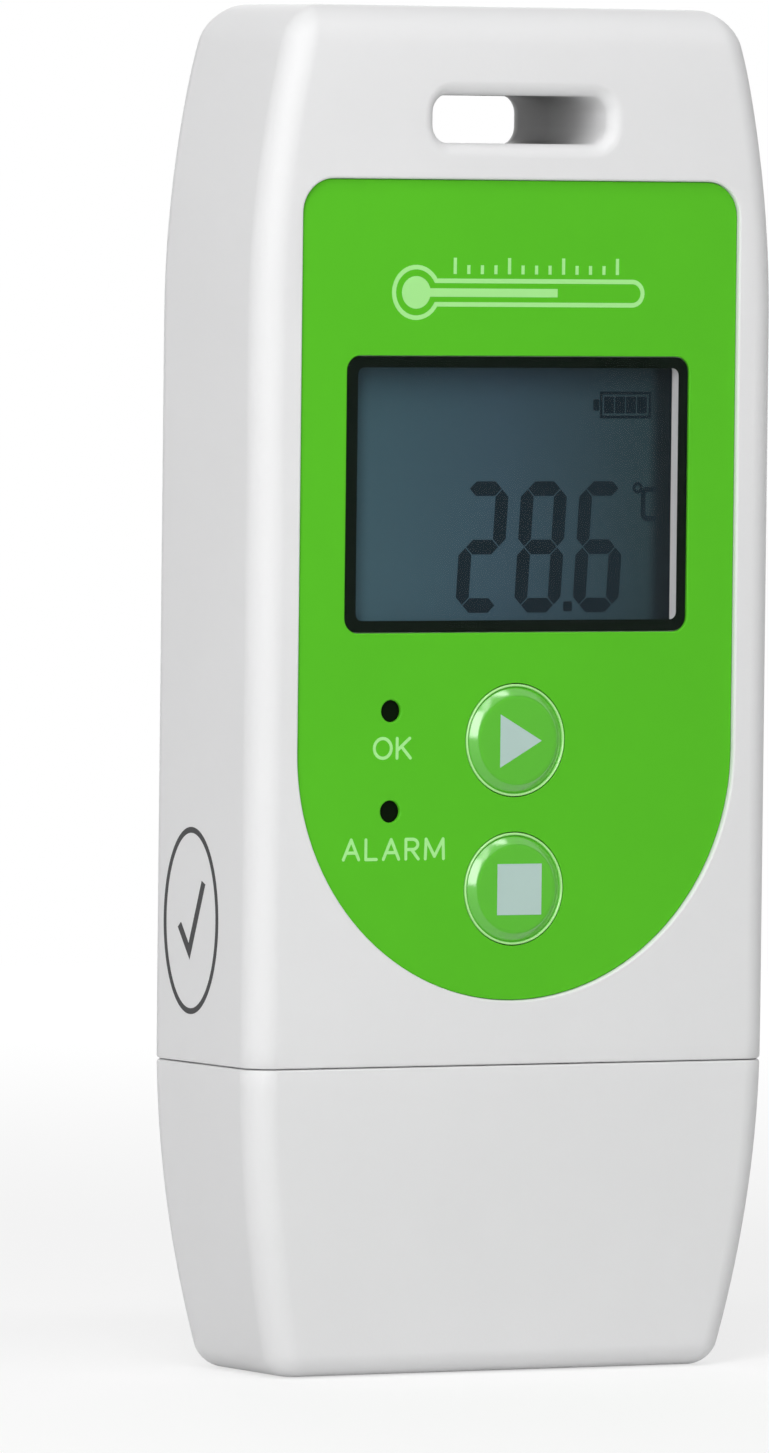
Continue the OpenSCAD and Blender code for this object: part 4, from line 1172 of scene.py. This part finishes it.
def mix_shaders(tree, share, first, second):
    mix = add_node(tree, "ShaderNodeMixShader")
    tree.links.new(share, mix.inputs["Fac"])
    tree.links.new(first.outputs[0], mix.inputs[1])
    tree.links.new(second.outputs[0], mix.inputs[2])
    return mix


def floor_material():
    """White to the camera, with the object's shadow near it; grey to the rays that light the object."""
    mat = bpy.data.materials.new("floor")
    mat.use_nodes = True
    tree = mat.node_tree
    tree.nodes.clear()
    out = add_node(tree, "ShaderNodeOutputMaterial")
    bounce = add_node(tree, "ShaderNodeBsdfDiffuse", Color=FLOOR_BOUNCE)
    pale = add_node(tree, "ShaderNodeBsdfDiffuse", Color=FLOOR_SEEN)
    glow = add_node(tree, "ShaderNodeEmission", Color=PLAIN_WHITE, Strength=1.0)
    away = add_node(tree, "ShaderNodeVectorMath", operation="LENGTH")
    tree.links.new(place_node(tree), away.inputs[0])
    share = remap(tree, away.outputs["Value"], SHADOW_ZONE, WHITE_ZONE, NEAR_GLOW, 1.0)
    seen = mix_shaders(tree, share, pale, glow)
    upper = mix_shaders(tree, seen_ray(tree), bounce, seen)
    clear = add_node(tree, "ShaderNodeBsdfTransparent")
    under = add_node(tree, "ShaderNodeNewGeometry").outputs["Backfacing"]
    tree.links.new(mix_shaders(tree, under, upper, clear).outputs[0], out.inputs["Surface"])
    return mat


def make_floor():
    """White floor that shows the shadow near the object and meets the white world without a line.

    It stays under the cap when that is pulled off, and its underside isn't seen.
    """
    bm = bmesh.new()
    bmesh.ops.create_grid(bm, x_segments=2, y_segments=2, size=FLOOR_SIZE / 2)
    obj = as_object(bm, "floor")
    obj.data.materials.append(floor_material())
    obj.location.z = -FLOOR_DROP
    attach(obj, "cap_body")


def make_world():
    """World that looks white and lights the object evenly."""
    world = bpy.data.worlds.new("studio")
    bpy.context.scene.world = world
    world.use_nodes = True
    tree = world.node_tree
    tree.nodes.clear()
    out = add_node(tree, "ShaderNodeOutputWorld")
    seen = add_node(tree, "ShaderNodeBackground", Color=PLAIN_WHITE, Strength=1.0)
    light = add_node(tree, "ShaderNodeBackground", Color=PLAIN_WHITE, Strength=AMBIENT)
    tree.links.new(mix_shaders(tree, seen_ray(tree), light, seen).outputs[0], out.inputs["Surface"])


def add_lamp(name, azimuth, elevation, distance, width, height, radiance):
    """Soft box of a given radiance, placed as seen from the object's middle."""
    data = bpy.data.lights.new(name, "AREA")
    data.shape = "RECTANGLE"
    data.size = width
    data.size_y = height
    data.energy = radiance * pi * width * height
    obj = new_object(name, data)
    away = toward(radians(azimuth), radians(elevation))
    obj.location = Vector((0, 0, BODY_H / 2 * MM)) + away * distance
    obj.rotation_euler = away.to_track_quat("Z", "Y").to_euler()


def make_camera():
    a, r = radians(AZIMUTH), radians(ROLL)
    back = toward(a, radians(ELEVATION))
    right = Vector((cos(a), sin(a), 0))
    up = back.cross(right)
    spot = Vector((0, 0, BODY_H / 2)) + right * SHIFT_X + up * SHIFT_Z + back * DISTANCE
    data = bpy.data.cameras.new("camera")
    data.sensor_fit = "VERTICAL"
    data.sensor_height = SENSOR_H
    data.lens = FOCAL * SENSOR_H / PHOTO_H
    data.clip_start = 0.01
    data.clip_end = 50.0
    rolled_right, rolled_up = right * cos(r) + up * sin(r), up * cos(r) - right * sin(r)
    matrix = Matrix((rolled_right, rolled_up, back)).transposed().to_4x4()
    matrix.translation = spot * MM
    obj = new_object("camera", data)
    obj.matrix_world = matrix
    bpy.context.scene.camera = obj


dress_nodes()
make_camera()
make_world()
for lamp in LAMPS:
    add_lamp(*lamp)
make_floor()
make_front_housing()
make_rear_cover()
make_cap()
make_battery_cover()
make_overlay()
make_window()
make_key("start_button", "start_key", start_mid, PLAY_SIGN)
make_key("stop_button", "stop_key", stop_mid, STOP_SIGN)
make_words()
make_thermometer()
make_display()
make_stamp()

bpy.context.scene.view_settings.view_transform = "Standard"
